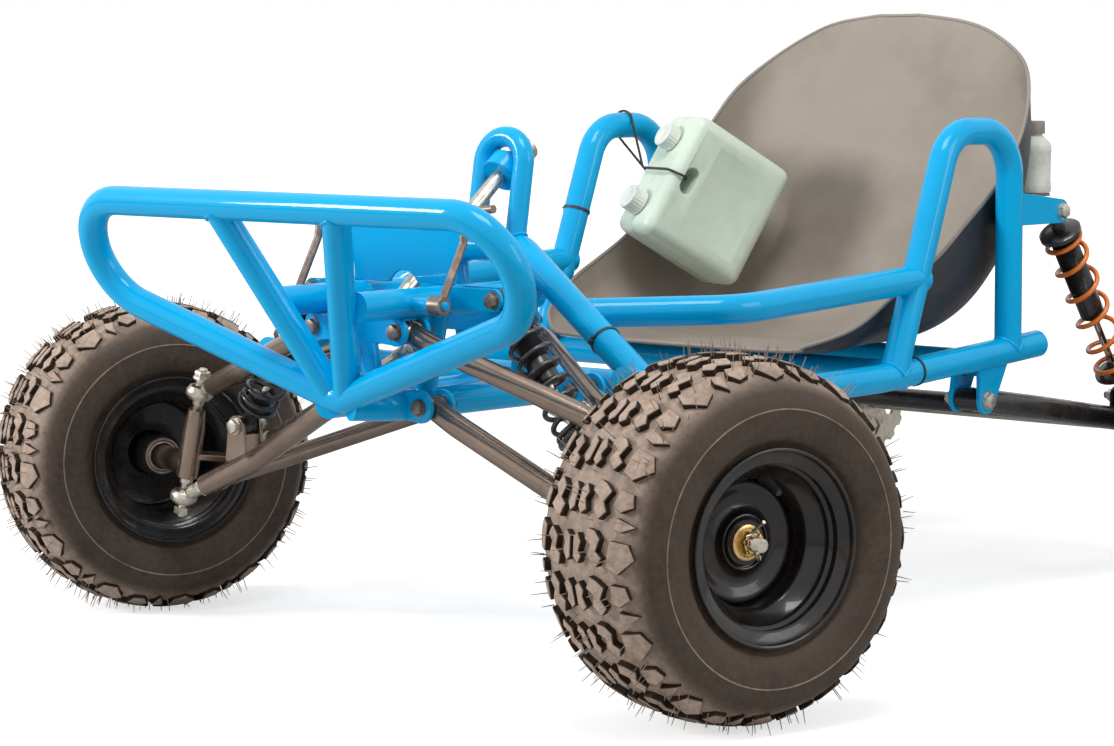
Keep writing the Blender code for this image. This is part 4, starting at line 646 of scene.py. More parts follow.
def through_bolt(head, nut, flats=BOLT_FLATS, shank=0.0049, short=0.0):
    """Head, nut and shank of a bolt between two faces. The shank may stop short of both."""
    head, nut = Vector(head), Vector(nut)
    out = (head - nut).normalized()
    return [
        bolt_head(head, out, flats), bolt_nut(nut, -out, flats),
        bar(shank, head - out * short, nut + out * short, 16),
    ]


# %% [markdown]
# ## Bumper
# One tube is bent into a closed loop with two round top corners and a point at the bottom, and two
# struts run from the top bar to the point. The loop leans forward as it rises.

# %% Bumper
BUMPER_TOP = (-0.200, 0.552)
BUMPER_APEX = (-0.096, 0.320)
BUMPER_HALF_WIDTH = 0.353
BUMPER_END_RADIUS, BUMPER_APEX_RADIUS = 0.067, 0.05
STRUT_TOP_X, STRUT_FOOT_X = 0.103, 0.012
STRUT_RADIUS = FRAME_RADIUS - 0.001
rise = BUMPER_TOP[1] - BUMPER_APEX[1]
end_x, end_z = BUMPER_HALF_WIDTH - BUMPER_END_RADIUS, rise - BUMPER_END_RADIUS
slope = math.atan2(end_z, end_x) - math.asin(BUMPER_END_RADIUS / math.hypot(end_x, end_z))
corner_x = rise / math.tan(slope)
end_radius = BUMPER_END_RADIUS * math.hypot(1.0, (BUMPER_TOP[0] - BUMPER_APEX[0]) / rise)
loop_corners = [(corner_x, *BUMPER_TOP), (-corner_x, *BUMPER_TOP), (0.0, *BUMPER_APEX)]
loop_path = rounded_path(loop_corners, [end_radius, end_radius, BUMPER_APEX_RADIUS], closed=True)
bumper = [tube(loop_path, FRAME_OD, closed=True, sides=36)]
for side, _ in SIDES:
    strut_top = Vector((side * STRUT_TOP_X, *BUMPER_TOP))
    strut_foot = Vector((side * STRUT_FOOT_X, BUMPER_APEX[0] - 0.002, BUMPER_APEX[1] + 0.006))
    middle = (strut_top + strut_foot) / 2
    bumper.append(bar(STRUT_RADIUS, strut_top, strut_foot))
    bumper += beads(
        bead(middle, strut_top, STRUT_RADIUS, (-0.3, *BUMPER_TOP), (0.3, *BUMPER_TOP), FRAME_RADIUS),
    )
show("bumper", bumper, BLUE, "chassis", "front_bumper")
print("bumper corner at x =", round(corner_x, 3))

# %% [markdown]
# ## Front box
# Two upper rails and two lower rails, tied by posts, carry the wishbones on bone-shaped plates with a
# bolt through each round end. The arch runs over the box to the side rails and holds the small hoop
# that carries the steering column.

# %% Sizes of the front box
UPPER_RAIL = (0.070, 0.436)
LOWER_RAIL = (0.040, 0.312)
UPPER_RAIL_FRONT, LOWER_RAIL_FRONT = -0.138, -0.100
NOSE_X, NOSE_RISE = 0.019, 0.003
LOWER_BEND_Y, LOWER_BEND_RADIUS = -0.048, 0.12
REAR_POST_Y = 0.165
FRONT_CROSS_Y = 0.300
LOWER_PIVOT = (0.075, 0.312)
UPPER_PIVOT = (0.070, 0.403)
LOWER_BUSHES = (-0.020, 0.245)
UPPER_BUSHES = (-0.054, 0.135)
BUSH_LENGTH = 0.030
EAR = 0.006
LOWER_EAR_RADIUS, UPPER_EAR_RADIUS = 0.019, 0.017
FRONT_SHOCK_Y = 0.018
FRONT_SHOCK_TOP = (0.155, 0.440)
FRONT_SHOCK_FOOT = (0.300, 0.258)
CLEVIS_GAP = 0.024
CLEVIS_PLATE = 0.005
CLEVIS_HALF = (CLEVIS_GAP + CLEVIS_PLATE) / 2
CLEVIS_REACH = CLEVIS_GAP / 2 + CLEVIS_PLATE
ARCH_CROWN = (0.045, 0.490)
ARCH_FOOT = (0.303, 0.100, 0.346)
PEDAL_X = 0.124
PEDAL_PIVOT = (-0.058, 0.436)
PEDAL_BOSS_RADIUS, PEDAL_PIN_RADIUS = 0.009, 0.005
PEDAL_BOSS_SHORT, PEDAL_PIN_PAST = 0.0103, 0.014


# %% Plates and posts of the front box
TOWER_RADIUS = 0.0135
CROWN_INSET = 0.006
POST_TOP_Z = ARCH_CROWN[1] - 0.020


def bone(half_length, radius, y, z):
    """A plate across the kart with a round end at each wishbone pivot, drawn in between them."""
    waist, shoulder = radius * 0.80, half_length * 0.45
    outline = arc((half_length, 0), radius, -110, 110, 20)
    outline += [(shoulder, waist), (-shoulder, waist)]
    outline += arc((-half_length, 0), radius, 70, 290, 20)
    outline += [(-shoulder, -waist), (shoulder, -waist)]
    return at(plate(outline, EAR), (0, y, z), (0, -1, 0))


def clevis(outline, place):
    """A pair of ears square to Y, one on each side of the eye that they hold."""
    x, y, z = place
    return [
        stood(plate(outline, CLEVIS_PLATE), (x, y + offset * CLEVIS_HALF, z)) for offset in (-1, 1)
    ]


box = []
box_bolts = []
for side, _ in SIDES:
    lower_x, upper_x = side * LOWER_RAIL[0], side * UPPER_RAIL[0]
    crown_x = side * (UPPER_RAIL[0] - CROWN_INSET)
    upper_front = Vector((upper_x, UPPER_RAIL_FRONT, UPPER_RAIL[1]))
    upper_rear = Vector((upper_x, REAR_POST_Y, UPPER_RAIL[1]))
    lower_front = Vector((lower_x, LOWER_RAIL_FRONT, LOWER_RAIL[1]))
    lower_rear = Vector((lower_x, FRONT_CROSS_Y, LOWER_RAIL[1]))
    posts = (
        (Vector((lower_x, 0.0, LOWER_RAIL[1])), Vector((upper_x, 0.0, UPPER_RAIL[1]))),
        (Vector((lower_x, REAR_POST_Y, LOWER_RAIL[1])), Vector((crown_x, REAR_POST_Y, POST_TOP_Z))),
    )
    nose = Vector((side * NOSE_X, LOWER_RAIL_FRONT, LOWER_RAIL[1] + NOSE_RISE))
    bend = Vector((lower_x, LOWER_BEND_Y, LOWER_RAIL[1]))
    lower_line = rounded_path([nose, bend, lower_rear], LOWER_BEND_RADIUS)
    box += [bar(FRAME_RADIUS, upper_front, upper_rear, 32), tube(lower_line, FRAME_OD, sides=32)]
    for low, high in posts:
        box.append(bar(POST_RADIUS, low, high))
        middle = (low + high) / 2
        box += beads(
            bead(middle, low, POST_RADIUS, lower_front, lower_rear, FRAME_RADIUS),
            bead(middle, high, POST_RADIUS, upper_front, upper_rear, FRAME_RADIUS),
        )
    shock_x, shock_z = FRONT_SHOCK_TOP
    tower = arc((shock_x, 0), TOWER_RADIUS, -90, 90, 16)
    tower += [(UPPER_RAIL[0] - CROWN_INSET, TOWER_RADIUS), (UPPER_RAIL[0] - CROWN_INSET, -TOWER_RADIUS)]
    box += clevis([(side * x, z) for x, z in tower], (0, FRONT_SHOCK_Y, shock_z))
    box_bolts += through_bolt(
        (side * shock_x, FRONT_SHOCK_Y - CLEVIS_REACH, shock_z),
        (side * shock_x, FRONT_SHOCK_Y + CLEVIS_REACH, shock_z),
    )[:2]
    pin = (upper_x, *PEDAL_PIVOT)
    boss_x, pin_x = side * (PEDAL_X - PEDAL_BOSS_SHORT), side * (PEDAL_X + PEDAL_PIN_PAST)
    box.append(bar(PEDAL_BOSS_RADIUS, pin, (boss_x, *PEDAL_PIVOT), 24, 0.0008))
    box.append(bar(PEDAL_PIN_RADIUS, pin, (pin_x, *PEDAL_PIVOT), 20, 0.0008))
offset = (BUSH_LENGTH + EAR) / 2 + GAP
face = offset + EAR / 2
for pivot, bushes, radius in (
    (LOWER_PIVOT, LOWER_BUSHES, LOWER_EAR_RADIUS), (UPPER_PIVOT, UPPER_BUSHES, UPPER_EAR_RADIUS),
):
    x, z = pivot
    for y in bushes:
        box += [bone(x, radius, y - offset, z), bone(x, radius, y + offset, z)]
        for side, _ in SIDES:
            box_bolts += through_bolt((side * x, y - face, z), (side * x, y + face, z))
show("front_box", box, BLUE, "chassis", "front_frame")
show("front_box_bolts", box_bolts, BOLT_STEEL, "chassis")
print("front box:", len(box), "pieces,", len(box_bolts), "bolt ends")

# %% Arch, hoop and column bearing
COLUMN_PASS = Vector((0, 0.009, 0.442))
COLUMN_BEARING = Vector((0, 0.183, 0.584))
COLUMN_ALONG = (COLUMN_BEARING - COLUMN_PASS).normalized()
COLUMN_RADIUS = 0.009
HOOP_X = 0.034
HOOP_TOP = (0.187, 0.625)
HOOP_BEAD = 0.0045
ARCH_BEND = 0.045
ARCH_MIDDLE, HOOP_MIDDLE = (0.20, 0.130, 0.4035), (0.175, 0.55)
hoop_foot = (REAR_POST_Y, ARCH_CROWN[1])
crown_left = Vector((ARCH_CROWN[0], *hoop_foot))
arch_corners = [mirror_x(ARCH_FOOT, -1), mirror_x(crown_left, -1), crown_left, mirror_x(ARCH_FOOT, 1)]
arch = [tube(rounded_path(arch_corners, ARCH_BEND), FRAME_OD, sides=36)]
for side, _ in SIDES:
    middle, foot, rail_front, rail_low = (mirror_x(point, side) for point in (
        ARCH_MIDDLE, ARCH_FOOT, (SIDE_X, *RAIL[0]), (SIDE_X, *RAIL[1]),
    ))
    arch += beads(bead(middle, foot, FRAME_RADIUS, rail_front, rail_low, FRAME_RADIUS))
show("front_arch_tube", arch, BLUE, "chassis", "front_arch")

hoop_corners = [(-HOOP_X, *hoop_foot), (-HOOP_X, *HOOP_TOP), (HOOP_X, *HOOP_TOP), (HOOP_X, *hoop_foot)]
hoop = [tube(rounded_path(hoop_corners, HOOP_X - 0.0015), POST_OD)]
for side, _ in SIDES:
    hoop += beads(bead(
        (side * HOOP_X, *HOOP_MIDDLE), (side * HOOP_X, *hoop_foot), POST_RADIUS,
        (-0.05, *hoop_foot), (0.05, *hoop_foot), FRAME_RADIUS, size=HOOP_BEAD,
    ))
bearing = collar(COLUMN_RADIUS + 0.0005, HOOP_X - POST_RADIUS + 0.003, 0.012, (0.001, 0.001), 40)
hoop.append(at(bearing, COLUMN_BEARING, COLUMN_ALONG))
show("steering_hoop_tube", hoop, BLUE, "chassis", "steering_hoop")

# %% [markdown]
# The plate behind the bumper closes the top of the box. Its sides are hollowed, and a half round
# notch in its lower edge lets the steering column through.

# %% Front plate
PLATE_Y, PLATE_TOP, PLATE_MIDDLE = 0.009, 0.530, 0.49
PLATE_FOOT_HALF, PLATE_TOP_HALF = 0.085, 0.112
NOTCH_Z, NOTCH_RADIUS = 0.443, 0.026
bottom = UPPER_RAIL[1] + FRAME_RADIUS + GAP
notch = math.degrees(math.asin((bottom - NOTCH_Z) / NOTCH_RADIUS))
hollow = []
for step in range(21):
    share = step / 20
    half = PLATE_FOOT_HALF + (PLATE_TOP_HALF - PLATE_FOOT_HALF) * share ** 2.2
    hollow.append((half, bottom + (PLATE_TOP - bottom) * share))
outline = arc((0, NOTCH_Z), NOTCH_RADIUS, notch, 180 - notch, 24)
outline += [(-x, z) for x, z in hollow] + hollow[::-1]
sheet = plate([(x, z - PLATE_MIDDLE) for x, z in outline], 0.004, 0.0008)
show("front_sheet", stood(sheet, (0, PLATE_Y, PLATE_MIDDLE)), BLUE, "chassis", "front_plate")

# %% [markdown]
# ## Side frames and cross tubes
# On each side a rail runs back from the arch, a hoop stands beside the seat and a bar joins the hoop
# to the front. Cross tubes tie the two sides under the seat.

# %% Side frames
REAR_CROSS_Y = 0.795
HOOP_FOOT = (0.575, 0.317)
HOOP_TOP_Z = 0.625
HOOP_REAR_Y = 0.825
HOOP_BENDS = [0.0, 0.058, 0.062, 0.0]
RAIL_BEND, BAR_BEND = 0.4, 0.09
HOOP_SLOPE = 0.375
SIDE_BAR = ((0.305, 0.634, 0.440), (0.303, 0.278, 0.421), (0.166, 0.148, 0.417))
SWING_PIVOT = (0.280, 0.780, 0.271)
SWING_EAR = (BUSH_LENGTH + 0.009 + EAR) / 2
SWING_EAR_RADIUS = 0.018
SWING_EAR_ROOT_Z = 0.3328
OUTER_EAR_WIDTH, INNER_EAR_WIDTH = 0.070, 0.050
SWING_SIDE_X = 0.300
REAR_SHOCK_TOP = (0.930, 0.515)
REAR_SHOCK_FOOT = (1.115, 0.250)
SQUARE_TO_X = axes((0, 1, 0), (0, 0, 1), (1, 0, 0))
hoop_lean = HOOP_FOOT[0] + HOOP_SLOPE * (HOOP_TOP_Z - HOOP_FOOT[1])


def ear_plate(place, radius, root, width, thickness):
    """A plate square to X with a round end at a bolt, widening to its root."""
    end, base = Vector(place[1:]), Vector(root)
    along = (base - end).normalized()
    heading = math.degrees(math.atan2(along.y, along.x))
    across = Vector((-along.y, along.x)) * width / 2
    outline = arc(end, radius, heading + 90, heading + 270, 20)
    outline += [tuple(base - across), tuple(base + across)]
    return moved(plate(outline, thickness), Matrix.Translation((place[0], 0, 0)) @ SQUARE_TO_X)


def rear_clevis(side, bolt, radius, root, width):
    """The pair of ears that hold one eye of a rear shock absorber."""
    return [
        ear_plate((side * (SWING_SIDE_X + offset * CLEVIS_HALF), *bolt), radius, root, width, CLEVIS_PLATE)
        for offset in (-1, 1)
    ]


def rear_shock_bolt(side, bolt, flats=BOLT_FLATS):
    """The bolt through those ears, its head outwards."""
    outer, inner = side * (SWING_SIDE_X + CLEVIS_REACH), side * (SWING_SIDE_X - CLEVIS_REACH)
    return through_bolt((outer, *bolt), (inner, *bolt), flats)


for side, word in SIDES:
    rail_path = [(side * SIDE_X, y, z) for y, z in RAIL]
    hoop_path = [(side * SIDE_X, y, z) for y, z in (
        HOOP_FOOT, (hoop_lean, HOOP_TOP_Z), (HOOP_REAR_Y, HOOP_TOP_Z), (HOOP_REAR_Y, RAIL[3][1] - 0.006),
    )]
    bar_path = [mirror_x(corner, side) for corner in SIDE_BAR]
    pieces = [
        tube(rounded_path(rail_path, RAIL_BEND, step=math.radians(2)), FRAME_OD, sides=36),
        tube(rounded_path(hoop_path, HOOP_BENDS), FRAME_OD, sides=36),
        tube(rounded_path(bar_path, BAR_BEND), FRAME_OD, sides=36),
    ]
    arch_foot, arch_crown = mirror_x(ARCH_FOOT, side), mirror_x(crown_left, side)
    for middle, end, first, second in (
        ((side * SIDE_X, 0.64, 0.49), hoop_path[0], rail_path[2], rail_path[3]),
        ((side * SIDE_X, HOOP_REAR_Y, 0.50), hoop_path[3], rail_path[2], rail_path[3]),
        (bar_path[1], bar_path[0], hoop_path[0], hoop_path[1]),
        (bar_path[1], bar_path[2], arch_foot, arch_crown),
    ):
        pieces += beads(bead(middle, end, FRAME_RADIUS, first, second, FRAME_RADIUS))
    x, y, z = SWING_PIVOT
    outer, inner = side * (x + SWING_EAR), side * (x - SWING_EAR)
    root = (REAR_CROSS_Y, SWING_EAR_ROOT_Z)
    pieces.append(ear_plate((outer, y, z), SWING_EAR_RADIUS, root, OUTER_EAR_WIDTH, EAR))
    root = (HOOP_REAR_Y + 0.004, REAR_SHOCK_TOP[1] + 0.006)
    pieces += rear_clevis(side, REAR_SHOCK_TOP, 0.016, root, 0.044)
    show(word + "_side_tubes", pieces, BLUE, "chassis", word + "_side_frame")
    head, nut = (outer + side * EAR / 2, y, z), (inner - side * EAR / 2, y, z)
    bolts = rear_shock_bolt(side, REAR_SHOCK_TOP, 0.017) + through_bolt(head, nut, 0.019, 0.0058, EAR / 2)
    show(word + "_side_bolts", bolts, ZINC, "chassis")

# %% Cable ties
def cable_tie(start, end, share, across):
    """A thin strap round a tube, with its lock and its cut tail."""
    start, end = Vector(start), Vector(end)
    radius = across / 2
    inner, outer, half, lock_x = radius + 0.0002, radius + 0.0013, 0.0019, radius + 0.0030
    strap = turned([(inner, -half), (outer, -half), (outer, half), (inner, half)], 40)
    lock = at(block((0.0045, 0.0060, 0.0055), 0.0007), (lock_x, 0, 0))
    tail = tube([(lock_x, 0, 0), (lock_x, 0.008, 0.001)], 0.0016, sides=6)
    return at(joined(strap, lock, tail), start.lerp(end, share), end - start)


ties = []
for side, _ in SIDES:
    rail_low, rail_end = ((side * SIDE_X, y, z) for y, z in RAIL[2:])
    ties.append(cable_tie(rail_low, rail_end, 0.20, FRAME_OD))
    ties.append(cable_tie(mirror_x(ARCH_FOOT, side), mirror_x(crown_left, side), 0.30, FRAME_OD))
ties.append(cable_tie((-SIDE_X, *HOOP_FOOT), (-SIDE_X, hoop_lean, HOOP_TOP_Z), 0.62, FRAME_OD))
show("cable_ties", ties, BLACK_PLASTIC, "chassis")

# %% Cross tubes
SEAT_TUBE_Y, SEAT_TUBE_Z = 0.600, 0.318


def cross_tube(y, z):
    """A tube from rail to rail with its two beads."""
    parts = [bar(FRAME_RADIUS, (-SIDE_X, y, z), (SIDE_X, y, z), 36)]
    for side, _ in SIDES:
        end = (side * SIDE_X, y, z)
        ahead, behind = (end[0], y - 0.1, z), (end[0], y + 0.1, z)
        parts += beads(bead((0, y, z), end, FRAME_RADIUS - 0.0004, ahead, behind, FRAME_RADIUS))
    return parts


show("front_cross_bar", cross_tube(FRONT_CROSS_Y, RAIL[1][1]), BLUE, "chassis", "front_cross_tube")
show("seat_cross_bar", cross_tube(SEAT_TUBE_Y, SEAT_TUBE_Z), BLUE, "chassis", "seat_cross_tube")
rear_cross = cross_tube(REAR_CROSS_Y, SEAT_TUBE_Z)
for side, _ in SIDES:
    place = (side * (SWING_PIVOT[0] - SWING_EAR), *SWING_PIVOT[1:])
    root = (REAR_CROSS_Y, SEAT_TUBE_Z)
    rear_cross.append(ear_plate(place, SWING_EAR_RADIUS, root, INNER_EAR_WIDTH, EAR))
show("rear_cross_bar", rear_cross, BLUE, "chassis", "rear_cross_frame")

# %% [markdown]
# ## Seat
# The seat is one dished sheet of bare metal. A flat grid is bent to cross sections that run from the
# front lip over the pan and up the back, and only then gets the thickness of the sheet. Its rim is
# rolled over, which the eye reads as the bright line round the edge.

# %% Seat
SEAT_STATIONS = [
    (0.515, 0.3458, 0.215, 0.500, 0.354), (0.560, 0.3378, 0.262, 0.545, 0.377),
    (0.620, 0.3378, 0.277, 0.610, 0.415), (0.690, 0.3378, 0.277, 0.660, 0.440),
    (0.770, 0.3378, 0.277, 0.714, 0.467), (0.832, 0.352, 0.277, 0.765, 0.502),
    (0.872, 0.378, 0.277, 0.821, 0.540), (0.912, 0.425, 0.277, 0.863, 0.580),
    (0.940, 0.487, 0.273, 0.900, 0.624), (0.958, 0.555, 0.255, 0.939, 0.676),
    (0.971, 0.630, 0.218, 0.975, 0.718), (0.981, 0.705, 0.160, 0.990, 0.752),
    (0.9855, 0.748, 0.108, 0.9905, 0.7690), (0.9890, 0.7780, 0.032, 0.9895, 0.7785),
]
SEAT_SQUARENESS = 0.62
SEAT_WALL, SEAT_RIM = 0.003, 0.0052


def station_value(column, row):
    """One column of the stations, run through smoothly."""
    index = min(int(row), len(SEAT_STATIONS) - 2)
    t = row - index
    last = len(SEAT_STATIONS) - 1
    a, b, c, d = (SEAT_STATIONS[min(max(index + i, 0), last)][column] for i in (-1, 0, 1, 2))
    return b + 0.5 * t * (c - a + t * (2 * a - 5 * b + 4 * c - d + t * (3 * (b - c) + d - a)))


def seat_point(row, share):
    """A point of the sheet: row along the stations, share from -1 to 1 across."""
    mid_y, mid_z, half, edge_y, edge_z = (station_value(column, row) for column in range(5))
    turn = math.pi / 2 * share
    lift = 1 - math.cos(turn) ** SEAT_SQUARENESS
    across = math.copysign(abs(math.sin(turn)) ** SEAT_SQUARENESS, turn)
    return Vector((half * across, mid_y + (edge_y - mid_y) * lift, mid_z + (edge_z - mid_z) * lift))


SEAT_ROWS, SEAT_COLUMNS = 72, 64
SEAT_SPACING = 0.35
last_row = len(SEAT_STATIONS) - 1
form = bmesh.new()
bmesh.ops.create_grid(form, x_segments=SEAT_COLUMNS, y_segments=SEAT_ROWS, size=1.0)
for vert in form.verts:
    row = (vert.co.y + 1) / 2 * last_row
    evened = math.asin(max(-1, min(1, vert.co.x))) / (math.pi / 2)
    vert.co = seat_point(row, evened * SEAT_SPACING + vert.co.x * (1 - SEAT_SPACING))
seat_object = in_scene("seat_form", bmesh_to_mesh(form))
wall = seat_object.modifiers.new("wall", "SOLIDIFY")
wall.thickness = SEAT_WALL
wall.offset = 0.0
wall.use_even_offset = False
seat_mesh = applied(seat_object)

rim_rows = [i / 6 for i in range(6 * last_row + 1)]
rim_path = [seat_point(0, s / 24) for s in range(-24, 25)]
rim_path += [seat_point(row, 1) for row in rim_rows[1:]]
rim_path += [seat_point(last_row, s / 12) for s in range(11, -13, -1)]
rim_path += [seat_point(row, -1) for row in rim_rows[::-1][1:-1]]
seat_rim = tube(rim_path, SEAT_RIM, closed=True, sides=10)

BOTTLE_FOOT = Vector((0.205, 1.022, 0.533))
SHELF_SIDES = (0.188, 0.222)
SHELF_PLATE, SHELF_DROP, SHELF_PAST = 0.004, 0.0023, 0.018
back = [seat_point(row / 20, share / 60) for row in range(140, 220) for share in range(20, 61)]
behind = [
    max(p.y for p in back if abs(p.x - x) < 0.006 and abs(p.z - BOTTLE_FOOT.z) < 0.010) for x in SHELF_SIDES
]
print("the seat's back at the shelf:", [round(y * 1000) for y in behind], "mm")
shelf_front = [(x, y + SEAT_WALL) for x, y in zip(SHELF_SIDES, behind)]
shelf_rear = [(x, BOTTLE_FOOT.y + SHELF_PAST) for x in reversed(SHELF_SIDES)]
shelf = at(plate(shelf_front + shelf_rear, SHELF_PLATE), (0, 0, BOTTLE_FOOT.z - SHELF_DROP))

seat = show("seat_sheet", seat_mesh, SEAT, "chassis", "seat_shell")
show("seat_rolled_rim", seat_rim, SEAT, "chassis")
# Faces that look away from the sitter take the near black finish: painted shade on the seat's outside.
seat.data.materials.append(SEAT_PAINTED_SHADE)
sitter = TO_PLACE @ Vector((0, 0.70, 0.75))
for face in seat.data.polygons:
    if (face.center - sitter).dot(face.normal) > 0:
        face.material_index = 1
print("seat:", len(seat.data.polygons), "faces")

# %% [markdown]
# ## Can and bottle
# A blow-moulded can hangs on the driver's right by a cord through its grip. Blow moulding gives wide
# soft corners, faces that sink a little and a parting line round the middle. Its two caps have
# ribs for the fingers.

# %% Can
CAN_CENTRE = Vector((-0.186, 0.782, 0.520))
CAN_HEIGHT, CAN_WIDTH, CAN_DEPTH = 0.172, 0.186, 0.095
CAN_CORNER = 0.0165
CAN_SLOPE, CAN_TURN = math.radians(31), math.radians(20)
GRIP_DROP, GRIP_HALF, GRIP_RADIUS = 0.0285, 0.010, 0.0095
FLAT_AREA = 0.002
PANEL_TOP, PANEL_DROP = (0.045, 0.060), 0.021
MOUTH_ROUND, SEAM_WIDTH = 0.0022, 0.0014
CAP_RADIUS, CAP_RIBS, RIB_DEPTH = 0.0185, 24, 0.0007
can_face = Vector((math.cos(CAN_TURN), -math.sin(CAN_TURN), 0))
can_level = Vector((math.sin(CAN_TURN), math.cos(CAN_TURN), 0))
can_up = -can_level * math.cos(CAN_SLOPE) + Vector((0, 0, 1)) * math.sin(CAN_SLOPE)
CAN_FRAME = Matrix.Translation(CAN_CENTRE) @ axes(can_face, can_up.cross(can_face), can_up)
form = bmesh.new()
bmesh.ops.create_cube(form, size=1.0)
bmesh.ops.scale(form, vec=(CAN_DEPTH, CAN_WIDTH, CAN_HEIGHT), verts=form.verts)
bevel(form, form.edges[:], CAN_CORNER, segments=7)
flats = [f for f in form.faces if f.calc_area() > FLAT_AREA]
bmesh.ops.inset_individual(form, faces=flats, thickness=0.0015, depth=0.0)
for face in flats:
    if abs(face.normal.x) > 0.9:
        bmesh.ops.inset_individual(form, faces=[face], thickness=0.012, depth=0.0)
        bmesh.ops.inset_individual(form, faces=[face], thickness=0.004, depth=-0.0014)
low, high = PANEL_TOP
panel_top = [v for v in form.verts if abs(v.co.x) > 0.45 * CAN_DEPTH and low < v.co.z < high]
bmesh.ops.translate(form, verts=panel_top, vec=(0, 0, -PANEL_DROP))
can_object = in_scene("can_form", bmesh_to_mesh(form))
grip_outline = arc((GRIP_HALF, 0.0), GRIP_RADIUS, -90, 90, 12)
grip_outline += arc((-GRIP_HALF, 0.0), GRIP_RADIUS, 90, 270, 12)
grip_place = Matrix.Translation((0, 0, CAN_HEIGHT / 2 - GRIP_DROP)) @ SQUARE_TO_X
grip_object = in_scene("grip_form", moved(plate(grip_outline, CAN_DEPTH * 2, 0.0), grip_place))
opening = can_object.modifiers.new("grip", "BOOLEAN")
opening.object = grip_object
opening.operation = "DIFFERENCE"
opening.solver = "EXACT"
form = opened(applied(can_object))
bpy.data.objects.remove(grip_object, do_unlink=True)
mouths = [e for e in sharp_edges(form, 60) if abs(e.verts[0].co.x) > CAN_DEPTH * 0.3]
bevel(form, mouths, MOUTH_ROUND, segments=3)
can_parts = [bmesh_to_mesh(form)]
seam_corners = [(0, y * CAN_WIDTH / 2, z * CAN_HEIGHT / 2) for y, z in ((-1, -1), (1, -1), (1, 1), (-1, 1))]
seam_path = rounded_path(seam_corners, CAN_CORNER, closed=True)
can_parts.append(tube(seam_path, SEAM_WIDTH, closed=True, sides=6))
NECKS = (("can_cap", "can_cap_body", 0.048, 0.018), ("can_spout_cap", "spout_cap_body", -0.054, 0.022))
top, deep = CAN_HEIGHT / 2, CAN_DEPTH / 2
for _, _, along, _ in NECKS:
    neck = turned([
        (0.0, top - 0.01), (0.0180, top - 0.002), (0.0150, top + 0.0012), (0.0138, top + 0.003),
        (0.0138, top + 0.014), (0.0, top + 0.014),
    ], 32)
    can_parts.append(at(neck, (0, along, 0)))
show("can", moved(joined(*can_parts), CAN_FRAME), CAN, "chassis", "can_body")


def ribbed_cap(radius, height, ribs, segments=96):
    """A screw cap whose wall is ribbed for the fingers."""
    low, high = CAN_HEIGHT / 2 + 0.002, CAN_HEIGHT / 2 + 0.002 + height
    mesh = turned([
        (0.0, high - 0.0008), (radius * 0.55, high - 0.0008), (radius * 0.62, high), (radius - 0.002, high),
        (radius - 0.0006, high - 0.0007), (radius, high - 0.002), (radius, low + 0.003),
        (radius + 0.0004, low + 0.0025), (radius + 0.0004, low), (0.0141, low), (0.0141, low + 0.009),
        (0.0, low + 0.0125),
    ], segments)
    for vert in mesh.vertices:
        reach = math.hypot(vert.co.x, vert.co.y)
        if reach > radius - 0.0003 and low + 0.0028 < vert.co.z < high - 0.0015:
            angle = math.atan2(vert.co.y, vert.co.x)
            scale = 1 - RIB_DEPTH * (math.cos(ribs * angle) < 0) / reach
            vert.co.x *= scale
            vert.co.y *= scale
    return mesh


for name, body, along, height in NECKS:
    cap = moved(ribbed_cap(CAP_RADIUS, height, CAP_RIBS), CAN_FRAME @ Matrix.Translation((0, along, 0)))
    show(name + "_ribbed", cap, CAP, body, name)

# %% Cord of the can
TIE = 0.004
CORD_STEP = 0.0012
CORD_START, CORD_SWEEP, CORD_STEPS = -135, -180, 16
CORD_BACK, CORD_DRIFT = 0.076, 0.004
CORD_LEVEL = Vector((0.31, 0.42, 0.85))
clear = TIE / 2 + GAP
under = top - GRIP_DROP + GRIP_RADIUS - clear
over = top + clear + 0.003
ring = FRAME_RADIUS + clear + 0.0002
cord_path = [CAN_FRAME @ Vector((-deep - 0.006, 0, under))]
for step in range(CORD_STEPS + 1):
    share = step / CORD_STEPS
    angle = math.radians(CORD_START + CORD_SWEEP * share)
    x, z = -SIDE_X + ring * math.cos(angle), HOOP_TOP_Z + ring * math.sin(angle)
    cord_path.append(Vector((x, HOOP_REAR_Y - CORD_BACK - CORD_DRIFT * share, z)))
cord_path += [CAN_FRAME @ Vector((x, 0, z)) for x, z in (
    (-deep + 0.012, over), (deep - 0.012, over), (deep + 0.0050, top - 0.010), (deep + 0.0055, top - 0.016),
    (deep + 0.0015, under),
)]


def twisted_cord(path, diameter, pitch=0.011, strands=3):
    """Strands laid round a closed path."""
    dense = []
    for a, b in zip(path, path[1:] + path[:1]):
        count = max(1, round((b - a).length / CORD_STEP))
        dense += [a.lerp(b, i / count) for i in range(count)]
    for _ in range(4):
        dense = [(dense[i - 1] + dense[i] * 2 + dense[(i + 1) % len(dense)]) / 4 for i in range(len(dense))]
    length = sum((b - a).length for a, b in zip(dense, dense[1:] + dense[:1]))
    turns = max(1, round(length / pitch))
    made = []
    for strand in range(strands):
        wound = []
        for i, point in enumerate(dense):
            along = (dense[(i + 1) % len(dense)] - dense[i - 1]).normalized()
            side = along.cross(CORD_LEVEL).normalized()
            angle = 2 * math.pi * (turns * i / len(dense) + strand / strands)
            turned_side = side * math.cos(angle) + along.cross(side) * math.sin(angle)
            wound.append(point + turned_side * diameter * 0.25)
        made.append(tube(wound, diameter * 0.5, closed=True, sides=6))
    return joined(*made)


show("can_cord", twisted_cord(cord_path, TIE), BLACK_PLASTIC, "chassis", "can_tie")

